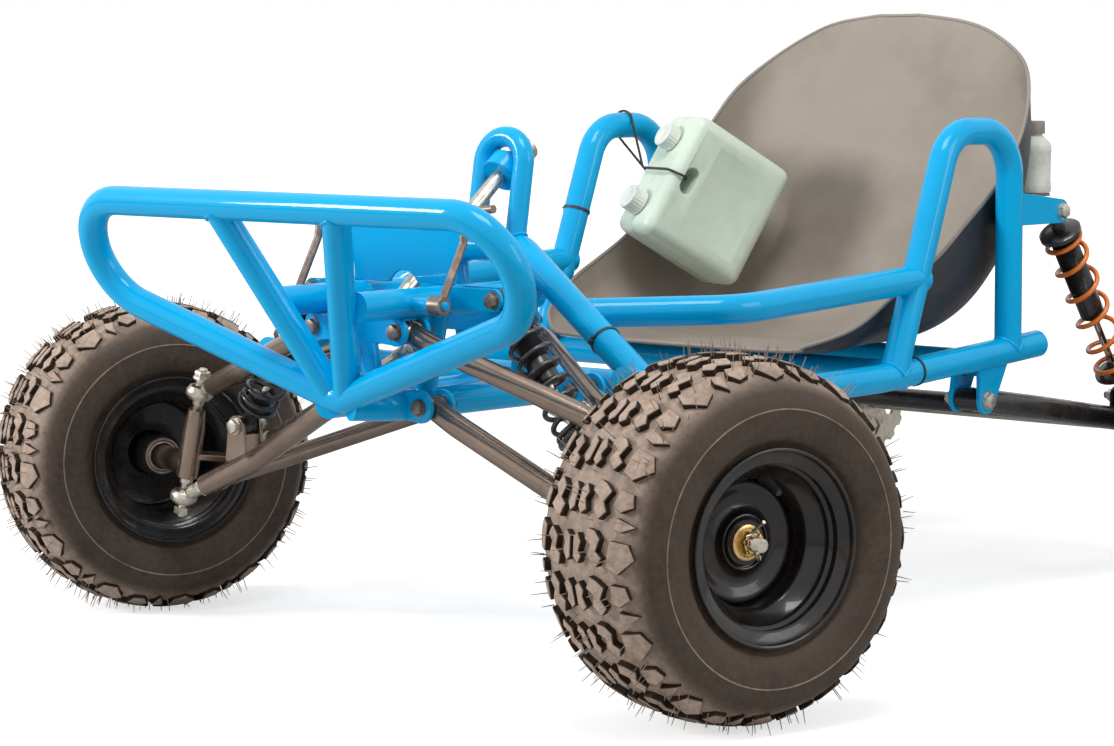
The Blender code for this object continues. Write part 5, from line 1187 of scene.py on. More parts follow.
# %% Bottle behind the seat
bottle = turned([
    (0.0, 0.0015), (0.018, 0.0), (0.022, 0.0), (0.0246, 0.0012), (0.0255, 0.004), (0.0255, 0.014),
    (0.0249, 0.0155), (0.0249, 0.0545), (0.0255, 0.056), (0.0255, 0.064), (0.0235, 0.070), (0.017, 0.0765),
    (0.0145, 0.078), (0.0128, 0.080), (0.0128, 0.090), (0.0, 0.090),
], 48)
show("bottle", at(bottle, BOTTLE_FOOT), CAP, "chassis", "breather_bottle")
bottle_cap = turned([
    (0.0, 0.0996), (0.0145, 0.0996), (0.0158, 0.099), (0.0165, 0.0975), (0.0165, 0.083), (0.0162, 0.0815),
    (0.0133, 0.0815), (0.0133, 0.0903), (0.0, 0.0903),
], 48)
show("bottle_cap", at(bottle_cap, BOTTLE_FOOT), GREY_CAP, "breather_cap_body", "breather_cap")
show("bottle_shelf", shelf, SEAT, "chassis")

# %% [markdown]
# ## Wishbones
# Each wishbone is two tubes that meet at a rod end. The bushes are short sleeves square across the
# tubes, and the lower wishbone carries the clevis for the shock absorber's foot.

# %% Wishbone helpers
LOWER_JOINT = (0.400, 0.0, 0.160)
UPPER_JOINT = (0.366, 0.0, 0.297)
EYE_OD, EYE_LENGTH = 0.036, 0.016
BALL_RADIUS = 0.0105
BUSH_RADIUS = 0.013
BUSH_BORE = 0.0054
MAIN_BEND, BRANCH_BEND = 0.10, 0.045


def rod_end(place, direction, bore):
    """A rod end's ring with a rounded waist."""
    outer, half = EYE_OD / 2, EYE_LENGTH / 2
    profile = both_ways([
        (bore, -half), (bore + 0.003, -half), (outer - 0.003, -half + 0.0012),
        (outer - 0.0006, -half + 0.004), (outer, 0),
    ])
    return at(turned(profile, 40), place, direction)


def bush(place):
    """A pivot sleeve along Y."""
    return at(collar(BUSH_BORE, BUSH_RADIUS, BUSH_LENGTH / 2), place, (0, 1, 0))


def bush_bead(run_in, place, radius, bush_radius=BUSH_RADIUS):
    """The bead where a wishbone's tube strikes its bush."""
    reach = Vector((0, 0.1, 0))
    return bead(run_in, place, radius, place - reach, place + reach, bush_radius, 0.0040)


def kingpin_axis(side):
    """The lower joint, the upper joint and the direction from one to the other."""
    lower, upper = mirror_x(LOWER_JOINT, side), mirror_x(UPPER_JOINT, side)
    return lower, upper, (upper - lower).normalized()


def pivots(side, pivot, bushes):
    """The middles of a wishbone's front and rear bushes."""
    return (mirror_x((pivot[0], y, pivot[1]), side) for y in bushes)


def show_wishbone(name, word, tubes, fittings):
    """The welded tubes stand in for the solid. The fittings ride with them."""
    body = word + "_" + name + "_wishbone"
    show(body + "_tubes", tubes, DARK_STEEL, body, word + "_" + name + "_arm")
    show(body + "_fittings", fittings, ZINC, body)


# %% Lower wishbones
LOWER_KNEE = (0.262, 0.004, 0.219)
LOWER_MAIN_RADIUS, LOWER_BRANCH_RADIUS = 0.014, 0.012
for side, word in SIDES:
    lower, upper, pin = kingpin_axis(side)
    front, rear = pivots(side, LOWER_PIVOT, LOWER_BUSHES)
    bend = mirror_x(LOWER_KNEE, side)
    inward = (bend - lower).normalized()
    sleeve = lower + inward * 0.045
    run_in = front + (bend - front).normalized() * 0.045
    run_in.y = front.y
    rear_joint = lower + inward * 0.060
    rear_run_in = rear + Vector((rear_joint.x - rear.x, 0, rear_joint.z - rear.z)).normalized() * 0.055
    pieces = [
        tube(rounded_path([sleeve, bend, run_in, front], MAIN_BEND), 2 * LOWER_MAIN_RADIUS),
        tube(rounded_path([rear_joint, rear_run_in, rear], BRANCH_BEND), 2 * LOWER_BRANCH_RADIUS),
        bush(front), bush(rear),
    ]
    pieces += beads(
        bead(rear_run_in, rear_joint, LOWER_BRANCH_RADIUS, sleeve, bend, LOWER_MAIN_RADIUS, 0.0045),
        bush_bead(run_in, front, LOWER_MAIN_RADIUS), bush_bead(rear_run_in, rear, LOWER_BRANCH_RADIUS),
    )
    foot_x, foot_z = side * FRONT_SHOCK_FOOT[0], FRONT_SHOCK_FOOT[1]
    outline = arc((0, 0), 0.014, 0, 180, 20) + [(-0.020, -0.052), (0.020, -0.045)]
    pieces += clevis([(side * x, z) for x, z in outline], (foot_x, FRONT_SHOCK_Y, foot_z))
    base = moved(block((0.040, 2 * CLEVIS_REACH, 0.008)), Matrix.Rotation(side * math.radians(12), 4, "Y"))
    pieces.append(at(base, (foot_x + side * 0.001, FRONT_SHOCK_Y, foot_z - 0.046)))
    show_wishbone("lower", word, pieces, [
        rod_end(lower, pin, BALL_RADIUS + 0.0005),
        bar(0.009, lower + inward * (EYE_OD / 2 - 0.002), sleeve + inward * 0.004, 24),
        at(hexagon(0.022, 0.007), lower + inward * 0.0385, inward),
        *through_bolt(
            (foot_x, FRONT_SHOCK_Y - CLEVIS_REACH, foot_z), (foot_x, FRONT_SHOCK_Y + CLEVIS_REACH, foot_z),
        ),
    ])

# %% Upper wishbones
UPPER_KNEE = (0.300, 0.035)
UPPER_MAIN_RADIUS, UPPER_BRANCH_RADIUS = 0.013, 0.009
for side, word in SIDES:
    lower, upper, pin = kingpin_axis(side)
    front, rear = pivots(side, UPPER_PIVOT, UPPER_BUSHES)
    inward = (front - upper).normalized()
    along = Vector((upper.x - front.x, 0, upper.z - front.z)).normalized()
    sleeve = upper + inward * 0.034
    front_run_in = front + along * 0.045
    rear_run_in = rear + along * 0.050
    knee = rear + along * ((UPPER_KNEE[0] - UPPER_PIVOT[0]) / abs(along.x))
    knee.y = UPPER_KNEE[1]
    rear_joint = upper + inward * 0.045
    pieces = [
        tube(rounded_path([sleeve, front_run_in, front], MAIN_BEND), 2 * UPPER_MAIN_RADIUS),
        tube(rounded_path([rear_joint, knee, rear_run_in, rear], BRANCH_BEND), 2 * UPPER_BRANCH_RADIUS),
        bush(front), bush(rear),
    ]
    pieces += beads(
        bead(knee, rear_joint, UPPER_BRANCH_RADIUS, sleeve, front_run_in, UPPER_MAIN_RADIUS, 0.0042),
        bush_bead(front_run_in, front, UPPER_MAIN_RADIUS, BUSH_RADIUS + 0.0001),
        bush_bead(rear_run_in, rear, UPPER_BRANCH_RADIUS),
    )
    show_wishbone("upper", word, pieces, [
        rod_end(upper, pin, BALL_RADIUS + 0.0010),
        bar(0.007, upper + inward * (EYE_OD / 2 - 0.002), sleeve + inward * 0.004, 24),
        at(hexagon(0.019, 0.006), upper + inward * 0.0285, inward),
    ])

# %% [markdown]
# ## Kingpins and uprights
# The kingpin is one long bolt with a ball at its foot and a lock nut at each end. The upright turns on
# it: a sleeve, the stub axle for the wheel and the arm that the tie rod pulls.

# %% Kingpins
KINGPIN_RADIUS, KINGPIN_FOOT_RADIUS = 0.006, 0.0052
UPRIGHT_START, UPRIGHT_END = 0.027, 0.118
STEER = {"left": math.radians(-13.4), "right": math.radians(-23.8)}
for side, word in SIDES:
    lower, upper, pin = kingpin_axis(side)
    length = (upper - lower).length
    r, foot = KINGPIN_RADIUS, KINGPIN_FOOT_RADIUS
    profile = [(0.0, -0.0155), (foot, -0.0155), (foot, -0.0105)] + arc((0, 0), BALL_RADIUS, -60, 60, 12) + [
        (r, 0.0105), (r, 0.0180), (0.0085, 0.0195), (0.0085, UPRIGHT_START - GAP), (r, UPRIGHT_START - GAP),
        (r, length - 0.018), (0.0075, length - 0.016), (0.0075, length + 0.0185), (0.0, length + 0.0185),
    ]
    show(word + "_kingpin_bolt", [
        at(turned(profile, 32), lower, pin),
        at(bolt_nut((0, 0, 0), (0, 0, 1), 0.018, 0.009, 0.004, 0.0055), upper + pin * 0.0182, pin),
        at(hexagon(0.018, 0.0095), lower - pin * 0.0140, -pin),
        at(disc(foot, 0.0035, 20), lower - pin * 0.0230, -pin),
    ], ZINC, word + "_carrier", word + "_kingpin")

# %% Uprights
HUB_X, HUB_Z = 0.543, 0.203
HUB_TUBE_HALF = 0.038
STEER_ARM_Z, STEER_ARM_LENGTH = 0.215, 0.080
STEER_ARM_PITCH, STEER_ARM_INSET = math.radians(3), math.radians(15)
STEER_ARM_PLATE = 0.008
STUB_CREST, STUB_ROOT, STUB_THREAD = 0.0075, 0.0066, 0.029


def steer_arm_axes(side):
    """Root, direction and normal of the steering arm, with the wheel straight ahead."""
    _, _, pin = kingpin_axis(side)
    root = pin * ((STEER_ARM_Z - LOWER_JOINT[2]) / pin.z)
    inset = Vector((-side * math.sin(STEER_ARM_INSET), math.cos(STEER_ARM_INSET), 0))
    flat = (inset - pin * inset.dot(pin)).normalized()
    along = flat * math.cos(STEER_ARM_PITCH) + pin * math.sin(STEER_ARM_PITCH)
    normal = pin * math.cos(STEER_ARM_PITCH) - flat * math.sin(STEER_ARM_PITCH)
    return root, along, normal


def steered(mesh, side, word):
    """A mesh drawn round the lower joint with the wheel straight, turned to where it stands."""
    lower, _, pin = kingpin_axis(side)
    return moved(mesh, Matrix.Translation(lower) @ Matrix.Rotation(STEER[word], 4, pin))


def hub_place(side, word):
    """The hub's middle and the axle's outward direction, as steered."""
    lower, _, pin = kingpin_axis(side)
    turn = Matrix.Rotation(STEER[word], 3, pin)
    return lower + turn @ (Vector((side * HUB_X, 0, HUB_Z)) - lower), turn @ Vector((side, 0, 0))


for side, word in SIDES:
    lower, _, pin = kingpin_axis(side)
    crossing = pin * ((HUB_Z - lower.z) / pin.z)
    distance = HUB_X - abs((lower + crossing).x)
    out = Vector((side, 0, 0))
    root, along, normal = steer_arm_axes(side)
    outline = arc((STEER_ARM_LENGTH, 0), 0.008, -90, 90, 16) + [(0.0, 0.010), (0.0, -0.010)]
    arm_place = Matrix.Translation(root) @ axes(along, normal.cross(along), normal)
    sleeve = turned([
        (0.0064, UPRIGHT_START), (0.0132, UPRIGHT_START), (0.0140, UPRIGHT_START + 0.0008), (0.0140, 0.094),
        (0.0120, 0.112), (0.0112, UPRIGHT_END), (0.0064, UPRIGHT_END),
    ], 36)
    upright_body = joined(
        at(sleeve, (0, 0, 0), pin), moved(plate(outline, STEER_ARM_PLATE, 0.001), arm_place),
        bar(0.015, crossing, crossing + out * (distance - HUB_TUBE_HALF - GAP), 32, 0.001),
    )
    knuckle = word + "_knuckle"
    show(word + "_upright_body", steered(upright_body, side, word), DARK_STEEL, knuckle, word + "_upright")
    stub_end = distance + HUB_TUBE_HALF
    points, tip = thread(stub_end, stub_end + STUB_THREAD, STUB_CREST, STUB_ROOT, COARSE_PITCH)
    threads = turned([(0.0, stub_end), (STUB_ROOT, stub_end)] + points[:-1] + [(0.0, tip)], 24)
    stub = joined(bar(0.0095, crossing, crossing + out * (stub_end + 0.006), 28), at(threads, crossing, out))
    show(word + "_stub_axle", steered(stub, side, word), ZINC, knuckle)

# %% [markdown]
# ## Wheels
# The rim is one turned profile: lips, bead seats, the drop centre, a dished web and the hub tube. The
# tyre's carcass is turned as well. The tread blocks are drawn flat, as they would be cut into a
# mould, and then laid over the crown: along the tread is the angle round the wheel, across it is the
# distance along the carcass section.

# %% Rim
TYRE_RADIUS, LUG_HEIGHT = 0.203, 0.008
BEAD_RADIUS, RIM_LIP, RIM_HALF, RIM_WELL = 0.0900, 0.109, 0.093, 0.074
WALL = 0.0035
WEB = 0.028
LIP_CURL = (
    (0.0042, 0.0046), (0.0010, 0.0036), (0.0, 0.0020), (0.0008, 0.0004), (0.0024, 0.0), (0.0042, 0.0008),
    (0.0060, 0.0050), (0.0074, 0.0105), (0.0092, 0.0122), (0.0112, 0.0112), (0.0128, 0.0116),
    (0.0140, 0.0140), (0.0175, 0.0155),
)


def rolled_lip(sign):
    """The curled edge of the rim, from the tyre's side round to the barrel."""
    return [(RIM_LIP - inwards, sign * (RIM_HALF - back)) for inwards, back in LIP_CURL]


def rim_form(bore):
    """The rim about Z, its outer face up."""
    seat, well = BEAD_RADIUS, RIM_WELL
    inner_seat, inner_well = seat - WALL, well - WALL
    outside = both_ways([
        (seat + 0.003, -RIM_HALF + 0.0065), (seat, -RIM_HALF + 0.0095), (seat, -0.066),
        (well + 0.002, -0.052), (well, -0.049),
    ])
    barrel = [
        (inner_seat, RIM_HALF - 0.020), (inner_seat, 0.0690), (inner_seat - 0.0012, 0.0665),
        (inner_well + 0.0035, 0.0545), (inner_well + 0.0006, 0.0520), (inner_well, 0.0490),
        (inner_well, WEB - 0.004), (inner_well - 0.0010, WEB - 0.0055),
    ]
    web = [(inner_well - inwards, WEB + up) for inwards, up in (
        (0.0016, -0.0030), (0.0030, 0.0006), (0.0050, 0.0026), (0.0075, 0.0032), (0.0110, 0.0024),
    )]
    web += [(radius, WEB + up) for radius, up in (
        (0.0540, -0.0010), (0.0460, -0.0030), (0.0400, -0.0030), (0.0350, -0.0010), (0.0325, 0.0020),
        (0.0315, 0.0050),
    )]
    boss = [(radius, HUB_TUBE_HALF - below) for radius, below in (
        (0.0312, 0.0020), (0.0306, 0.0008), (0.0294, 0.0004), (0.0282, 0.0010), (0.0278, 0.0045),
        (0.0262, 0.0050), (0.0256, 0.0010), (0.0246, 0.0), (bore, 0.0),
    )]
    back = [
        (bore, -HUB_TUBE_HALF), (0.026, -HUB_TUBE_HALF), (0.027, -HUB_TUBE_HALF + 0.001),
        (0.027, WEB - 0.014), (0.030, WEB - 0.0100), (inner_well - 0.004, WEB - 0.0100),
        (inner_well, WEB - 0.013), (inner_well, -0.049), (inner_well + 0.004, -0.055), (inner_seat, -0.066),
        (inner_seat, -RIM_HALF + 0.020),
    ]
    return turned(outside + rolled_lip(1) + barrel + web + boss + back + rolled_lip(-1)[::-1], 96)


def valve():
    """The valve stem, standing out of the drop centre wall."""
    stem = turned([
        (0.0, 0.0), (0.0075, 0.0), (0.0075, 0.002), (0.0052, 0.006), (0.0048, 0.016), (0.0040, 0.018),
        (0.0040, 0.030), (0.0036, 0.0335), (0.0, 0.034),
    ], 24)
    return at(stem, (RIM_WELL - 0.001, 0, 0.052), (-0.42, 0, 0.9))


# %% Tyre carcass
CARCASS = [
    (0.0903, 0.0835), (0.0930, 0.0840), (0.1090, 0.0846), (0.1120, 0.0856), (0.1150, 0.0880),
    (0.1170, 0.0925), (0.1230, 0.0968), (0.1330, 0.1000), (0.1494, 0.1006), (0.1500, 0.1013),
    (0.1510, 0.1013), (0.1516, 0.1005), (0.1600, 0.0992), (0.1695, 0.0950), (0.1755, 0.0890),
    (0.1805, 0.0810), (0.1850, 0.0710), (0.1890, 0.0580), (0.1920, 0.0410), (0.1942, 0.0210), (0.1950, 0.0),
]
section = CARCASS + [(r, -a) for r, a in CARCASS[-2::-1]]
inside = [
    (0.0903, -0.064), (0.150, -0.0925), (0.184, -0.066), (0.184, 0.066), (0.150, 0.0925), (0.0903, 0.064),
]
crown = CARCASS[::-1]
crown_length = [0.0]
for (r0, a0), (r1, a1) in zip(crown, crown[1:]):
    crown_length.append(crown_length[-1] + math.hypot(r1 - r0, a1 - a0))
print("from the middle of the tread to the bead:", round(crown_length[-1] * 1000), "mm")


def crown_point(t):
    """Radius, offset and outward slope of the carcass at a distance t from its middle line."""
    side = 1 if t >= 0 else -1
    t = abs(t)
    index = max(i for i, length in enumerate(crown_length[:-1]) if length <= t)
    share = (t - crown_length[index]) / (crown_length[index + 1] - crown_length[index])
    (r0, a0), (r1, a1) = crown[index], crown[index + 1]
    slope = Vector((r1 - r0, a1 - a0)).normalized()
    return r0 + (r1 - r0) * share, side * (a0 + (a1 - a0) * share), Vector((slope.y, -slope.x * side))


# %% [markdown]
# The tread repeats twelve times round the wheel. One pitch of it is drawn flat, in millimetres along the
# tread and out from its middle: two hooked blocks at the middle, two zigzag blocks beside them, and
# a house-shaped, a slanted and a small block at the shoulder. Each outline is one face. Cuts across it
# every few millimetres let it bend over the crown, then it is extruded and its top edge is bevelled.

# %% Tread blocks, drawn flat
PITCHES = 12
BLOCKS = [
    [(14, 2), (38, 2), (45, 11), (36, 17), (30, 12), (20, 16), (9, 9)],
    [(68, 2), (90, 2), (98, 9), (92, 18), (80, 13), (72, 17), (62, 10)],
    [(2, 24), (15, 20), (21, 31), (35, 27), (46, 41), (35, 49), (28, 40), (13, 45), (4, 36)],
    [(54, 27), (69, 20), (76, 32), (90, 27), (101, 39), (91, 49), (80, 42), (66, 50), (58, 39)],
    [(12, 57), (44, 53), (52, 68), (33, 88), (14, 80)],
    [(61, 58), (83, 55), (89, 66), (80, 80), (64, 76)],
    [(93, 63), (107, 60), (110, 70), (101, 87)],
]
BLOCK_SHARE = 0.93
BLOCK_ROOT = 0.0012
BLOCK_DUST = 0.92
CUT_EVERY, TREAD_END = 7, 88
SHOULDER, SHOULDER_FADE, SHOULDER_LEAST = 0.060, 0.050, 0.45


def flat_pitch():
    """One pitch of one half of the tread: x along it, y across it, z up, all in metres."""
    form = bmesh.new()
    dust = form.verts.layers.float.new("dust")
    for outline in BLOCKS:
        middle = Vector((sum(u for u, _ in outline), sum(t for _, t in outline))) / len(outline)
        corners = [middle + (Vector(corner) - middle) * BLOCK_SHARE for corner in outline]
        form.faces.new([form.verts.new((u / 1000, t / 1000, -BLOCK_ROOT)) for u, t in corners])
    for t in range(CUT_EVERY, TREAD_END, CUT_EVERY):
        everything, place = form.verts[:] + form.edges[:] + form.faces[:], (0, t / 1000, 0)
        bmesh.ops.bisect_plane(form, geom=everything, plane_co=place, plane_no=(0, 1, 0), dist=1e-6)
    pushed_up(form, form.faces[:], LUG_HEIGHT + BLOCK_ROOT)
    tops = [e for e in sharp_edges(form) if all(v.co.z > 0.5 * LUG_HEIGHT for v in e.verts)]
    bevel(form, tops, 0.0010, segments=1)
    for vert in form.verts:
        vert[dust] = BLOCK_DUST if vert.co.z > LUG_HEIGHT - 0.0002 else 0.0
    return bmesh_to_mesh(form, recalculate=False)


PITCH_MESH = flat_pitch()
print("one pitch of the tread:", len(PITCH_MESH.polygons), "faces")


def lay_on_crown(verts, side, start):
    """Bends flat tread over the crown: along it is the angle, across it the way down the section."""
    for vert in verts:
        u, t, height = vert.co
        radius, offset, normal = crown_point(side * t)
        height *= 1.0 if t < SHOULDER else max(SHOULDER_LEAST, 1 - (t - SHOULDER) / SHOULDER_FADE)
        angle = start + side * u / TYRE_RADIUS
        radius += normal.x * height
        vert.co = (radius * math.cos(angle), radius * math.sin(angle), offset + normal.y * height)


# %% Tyre
# The pale line round the wall is a painted highlight on the small ridge of the carcass, not dust.
RING_RADIUS, RING_HALF, RING_OFFSET, RING_PAINTED_HIGHLIGHT = 0.1505, 0.0006, 0.1010, 0.60
LEAST_DUST, MOST_DUST = 0.10, 0.80
DUST_STARTS, DUST_FADE = 0.172, 0.016
HAIRS, HAIR_DUST, HAIR_ROOT = 380, 0.7, 0.004


def dust_at(radius, offset):
    """How dusty the carcass is: pale between the blocks and dark on the wall, with one pale line round it
    that is a painted highlight on the ridge.
    """
    if abs(radius - RING_RADIUS) < RING_HALF and abs(offset) > RING_OFFSET:
        return RING_PAINTED_HIGHLIGHT
    return min(MOST_DUST, max(LEAST_DUST, (radius - DUST_STARTS) / DUST_FADE))


def tyre_form():
    """The turned carcass with the tread laid on both halves of it."""
    form = opened(turned(section + inside, 120))
    dust = form.verts.layers.float.new("dust")
    for vert in form.verts:
        vert[dust] = dust_at(math.hypot(vert.co.x, vert.co.y), vert.co.z)
    pitch = 2 * math.pi / PITCHES
    for side in (1, -1):
        for number in range(PITCHES):
            before = len(form.verts)
            form.from_mesh(PITCH_MESH)
            form.verts.ensure_lookup_table()
            lay_on_crown(form.verts[before:], side, pitch * (number + (0.5 if side < 0 else 0.0)))
    return bmesh_to_mesh(form)


def hair_form():
    """The rubber hairs that the mould's vents leave on a new tyre."""
    form = bmesh.new()
    dust = form.verts.layers.float.new("dust")
    for _ in range(HAIRS):
        angle = chance.uniform(0, 2 * math.pi)
        radius, offset, normal = crown_point(chance.uniform(-0.085, 0.085))
        length = chance.uniform(0.007, 0.0165)
        out = Vector((math.cos(angle), math.sin(angle), 0))
        direction = (out * normal.x + Vector((0, 0, normal.y))).normalized()
        lean = Vector((chance.uniform(-1, 1), chance.uniform(-1, 1), chance.uniform(-1, 1))) * 0.25
        start = out * (radius + normal.x * HAIR_ROOT) + Vector((0, 0, offset + normal.y * HAIR_ROOT))
        tip = start + (direction + lean).normalized() * (length + HAIR_ROOT)
        made = bmesh.ops.create_cone(
            form, cap_ends=True, segments=3, radius1=0.0008, radius2=0.0004, depth=(tip - start).length,
        )["verts"]
        for vert in made:
            vert[dust] = HAIR_DUST
        place = Matrix.Translation((start + tip) / 2) @ facing(tip - start)
        bmesh.ops.transform(form, matrix=place, verts=made)
    return bmesh_to_mesh(form)


tyre_master = tyre_form()
print("tyre:", len(tyre_master.polygons), "faces")


# %% Wheels in place
AXLE = Vector((0, 1.200, 0.203))
REAR_WHEEL_X = 0.455
FRONT_BORE, REAR_BORE = 0.0101, 0.0128
FRONT_WHEEL_TURN = 20
VALVE_TURN = {"left": 60, "right": 200}


def wheel_frame(place, outward, turn):
    """Lays a wheel drawn about Z on its axle. The turn is in degrees."""
    return Matrix.Translation(place) @ facing(outward) @ Matrix.Rotation(math.radians(turn), 4, "Z")


def show_wheel(name, body, matrix, bore, valve_turn):
    """A tyre with its hairs, a rim and a valve, all on one axle."""
    tyre = moved(tyre_master.copy(), matrix)
    show(name + "_tyre_tread", tyre, RUBBER, body, name + "_tyre", smooth=32)
    show(name + "_tyre_tread_hairs", moved(hair_form(), matrix), RUBBER, body)
    show(name + "_rim_dish", moved(rim_form(bore), matrix), RIM_BLACK, body, name + "_rim")
    stem = moved(valve(), matrix @ Matrix.Rotation(math.radians(valve_turn), 4, "Z"))
    show(name + "_valve", stem, BLACK_PLASTIC, body)


for side, word in SIDES:
    front = wheel_frame(*hub_place(side, word), FRONT_WHEEL_TURN)
    show_wheel(word + "_front", word + "_wheel", front, FRONT_BORE, VALVE_TURN[word])
    rear = wheel_frame(Vector((side * REAR_WHEEL_X, AXLE.y, AXLE.z)), (side, 0, 0), 0)
    show_wheel(word + "_rear", "rear_axle_body", rear, REAR_BORE, 0)

# %% Hub bearings and nuts
NUT_TURN = math.degrees(0.3)
PIN_EYE = 0.0032
start = HUB_TUBE_HALF + GAP
for side, word in SIDES:
    hub, outward = hub_place(side, word)
    bearing = turned([
        (0.0160, -0.0385), (0.0160, -0.0405), (0.0172, -0.0415), (0.0186, -0.0405), (0.0200, -0.0405),
        (0.0212, -0.0418), (0.0236, -0.0412), (0.0244, -0.0400), (0.0244, -0.0385),
    ], 48)
    show(word + "_inner_bearing", moved(bearing, wheel_frame(hub, outward, 0)), BOLT_STEEL, word + "_wheel")
    nut = [
        turned([
            (0.0100, start + 0.001), (0.0125, start + 0.003), (0.0150, start + 0.003),
            (0.0160, start + 0.0045), (0.0185, start + 0.0045), (0.0200, start + 0.0035), (0.0200, start),
            (0.0100, start),
        ], 48),
        at(hexagon(0.024, 0.010), (0, 0, start + 0.003)),
    ]
    for i in range(6):
        turn = Matrix.Rotation(math.radians(60 * i + 30), 4, "Z")
        tooth = at(block((0.0042, 0.0062, 0.006), 0.0006), (0.0098, 0, start + 0.015))
        nut.append(moved(tooth, turn))
    matrix = wheel_frame(hub, outward, NUT_TURN)
    show(word + "_castle_nut", moved(joined(*nut), matrix), YELLOW_ZINC, word + "_knuckle", word + "_hub_nut")
    split = rounded_path([
        (0.0, -0.012, start + 0.0165), (0.0, 0.014, start + 0.0165), (0.004, 0.020, start + 0.024),
        (0.006, 0.026, start + 0.034),
    ], 0.003)
    leg = rounded_path([
        (0.001, -0.012, start + 0.0155), (0.001, 0.012, start + 0.0155), (-0.010, 0.013, start + 0.0160),
    ], 0.002)
    eye = [Vector((0, y, z)) for y, z in arc((-0.015, start + 0.0162), PIN_EYE, 0, 340, 17)]
    pin = joined(
        tube(split, 0.0042, sides=10), tube(leg, 0.0030, sides=8), tube(eye, 0.0030, closed=True, sides=8),
    )
    show(word + "_split_pin", moved(pin, matrix), ZINC, word + "_knuckle")

# %% [markdown]
# ## Shock absorbers
# A coil-over shock absorber is a damper body with a threaded upper half and an adjusting ring, a
# polished rod with a rubber bump stop and a lower perch, and a coil between the two perches. The coil is
# drawn at one length, on a mesh of its own, and rides with the damper body.


# %% Shock absorber forms
END_TURNS = 0.75
END_RISE = 0.42
BODY_SHARE = 0.72


def spring_path(start, end, radius, turns, per_turn=28):
    """The line of a coil whose end turns lie closed."""
    rise = (end - start) / (turns - 2 * END_TURNS + 2 * END_TURNS * END_RISE)
    path, height = [], start
    for i in range(turns * per_turn + 1):
        angle = 2 * math.pi * i / per_turn
        path.append(Vector((radius * math.cos(angle), radius * math.sin(angle), height)))
        along = i / per_turn
        height += rise * (END_RISE if along < END_TURNS or along >= turns - END_TURNS else 1.0) / per_turn
    return path


def shock_forms(length, body_end, rod_start, perch_top, perch_low, spring_radius, wire, turns):
    """Body, rod, spring and lower perch about Z, from the top eye at the origin downwards."""
    body_r, perch_r = spring_radius - wire - 0.004, spring_radius + 0.001
    crest, root = body_r + 0.0008, body_r - 0.0002
    points, low = thread(perch_top, body_end * BODY_SHARE, crest, root, COARSE_PITCH)
    body = turned([
        (0.0, 0.006), (0.008, 0.006), (0.009, 0.012), (0.009, perch_top - 0.010),
        (perch_r - 0.004, perch_top - 0.008), (perch_r, perch_top - 0.0055), (perch_r, perch_top),
        (crest, perch_top), *points, (body_r, low + 0.001), (body_r, body_end - 0.004),
        (body_r - 0.0025, body_end - 0.001), (0.0062, body_end), (0.0, body_end),
    ], 40)
    half = CLEVIS_GAP / 2 - GAP
    eye = both_ways([
        (BUSH_BORE, -half), (0.0080, -half), (0.0085, -half + 0.002), (0.0120, -half + 0.002),
        (0.0125, -half + 0.003),
    ])
    top_eye, low_eye = (at(turned(eye, 36), (0, 0, z), (0, 1, 0)) for z in (0, length))
    rod_end_z = perch_low - 0.010
    rod = turned([(0.0, rod_start), (0.005, rod_start), (0.005, rod_end_z), (0.0, rod_end_z)], 40)
    perch = turned([
        (0.0052, perch_low - 0.016), (0.0088, perch_low - 0.014), (0.0095, perch_low - 0.008),
        (0.0085, perch_low - 0.001), (perch_r - 0.002, perch_low), (perch_r, perch_low + 0.001),
        (perch_r, perch_low + 0.004), (0.012, perch_low + 0.009), (0.009, perch_low + 0.014),
        (0.009, length - 0.006), (0.0, length - 0.006), (0.0, rod_end_z), (0.0052, rod_end_z),
    ], 40)
    start, end = perch_top + wire / 2 + GAP, perch_low - wire / 2 - GAP
    spring = tube(spring_path(start, end, spring_radius - wire / 2, turns), wire, sides=14)
    return joined(body, top_eye), rod, spring, joined(perch, low_eye)


def lay_shock(stem, top, foot, width, sizes, body, spring_finish):
    """One shock absorber between its bolts, its spring drawn at one length on the damper body."""
    body_end, rod_start, perch_top, perch_lift, *coil = sizes
    length = (foot - top).length
    perch_low = length - perch_lift
    along, across = (foot - top).normalized(), Vector(width)
    matrix = Matrix.Translation(top) @ axes(across.cross(along), across, along)
    forms = shock_forms(length, body_end, rod_start, perch_top, perch_low, *coil)
    damper, rod, spring, perch = (moved(mesh, matrix) for mesh in forms)
    show(stem + "_damper_body", damper, BLACK, body, stem + "_shock_body")
    show(stem + "_damper_piston", rod, CHROME, body + "_rod", stem + "_shock_rod")
    show(stem + "_damper_perch", perch, BLACK, body + "_rod")
    spring = show(stem + "_coil", spring, spring_finish, body, stem + "_shock_spring")
    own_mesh(spring)


# %% [markdown]
# Each list of sizes runs down the shock absorber: where the body ends, where the rod starts, the upper
# perch, how far the lower perch stands above the foot, then the coil's radius, wire and turns.

# %% Shock absorbers in place
FRONT_SHOCK = (0.122, 0.098, 0.032, 0.040, 0.026, 0.0065, 8)
REAR_SHOCK = (0.180, 0.150, 0.040, 0.048, 0.028, 0.007, 6)
for side, word in SIDES:
    top, foot = (Vector((side * x, FRONT_SHOCK_Y, z)) for x, z in (FRONT_SHOCK_TOP, FRONT_SHOCK_FOOT))
    lay_shock(word + "_front", top, foot, (0, 1, 0), FRONT_SHOCK, word + "_damper", SPRING_BLACK)
    top, foot = (Vector((side * SWING_SIDE_X, *end)) for end in (REAR_SHOCK_TOP, REAR_SHOCK_FOOT))
    lay_shock(word + "_rear", top, foot, (1, 0, 0), REAR_SHOCK, word + "_rear_damper", SPRING_ORANGE)

# %% [markdown]
# ## Steering
# The column turns in the ring of the small hoop. Its drop arm moves a short link sideways, and a tie
# rod runs from the link to a ball stud on each steering arm.

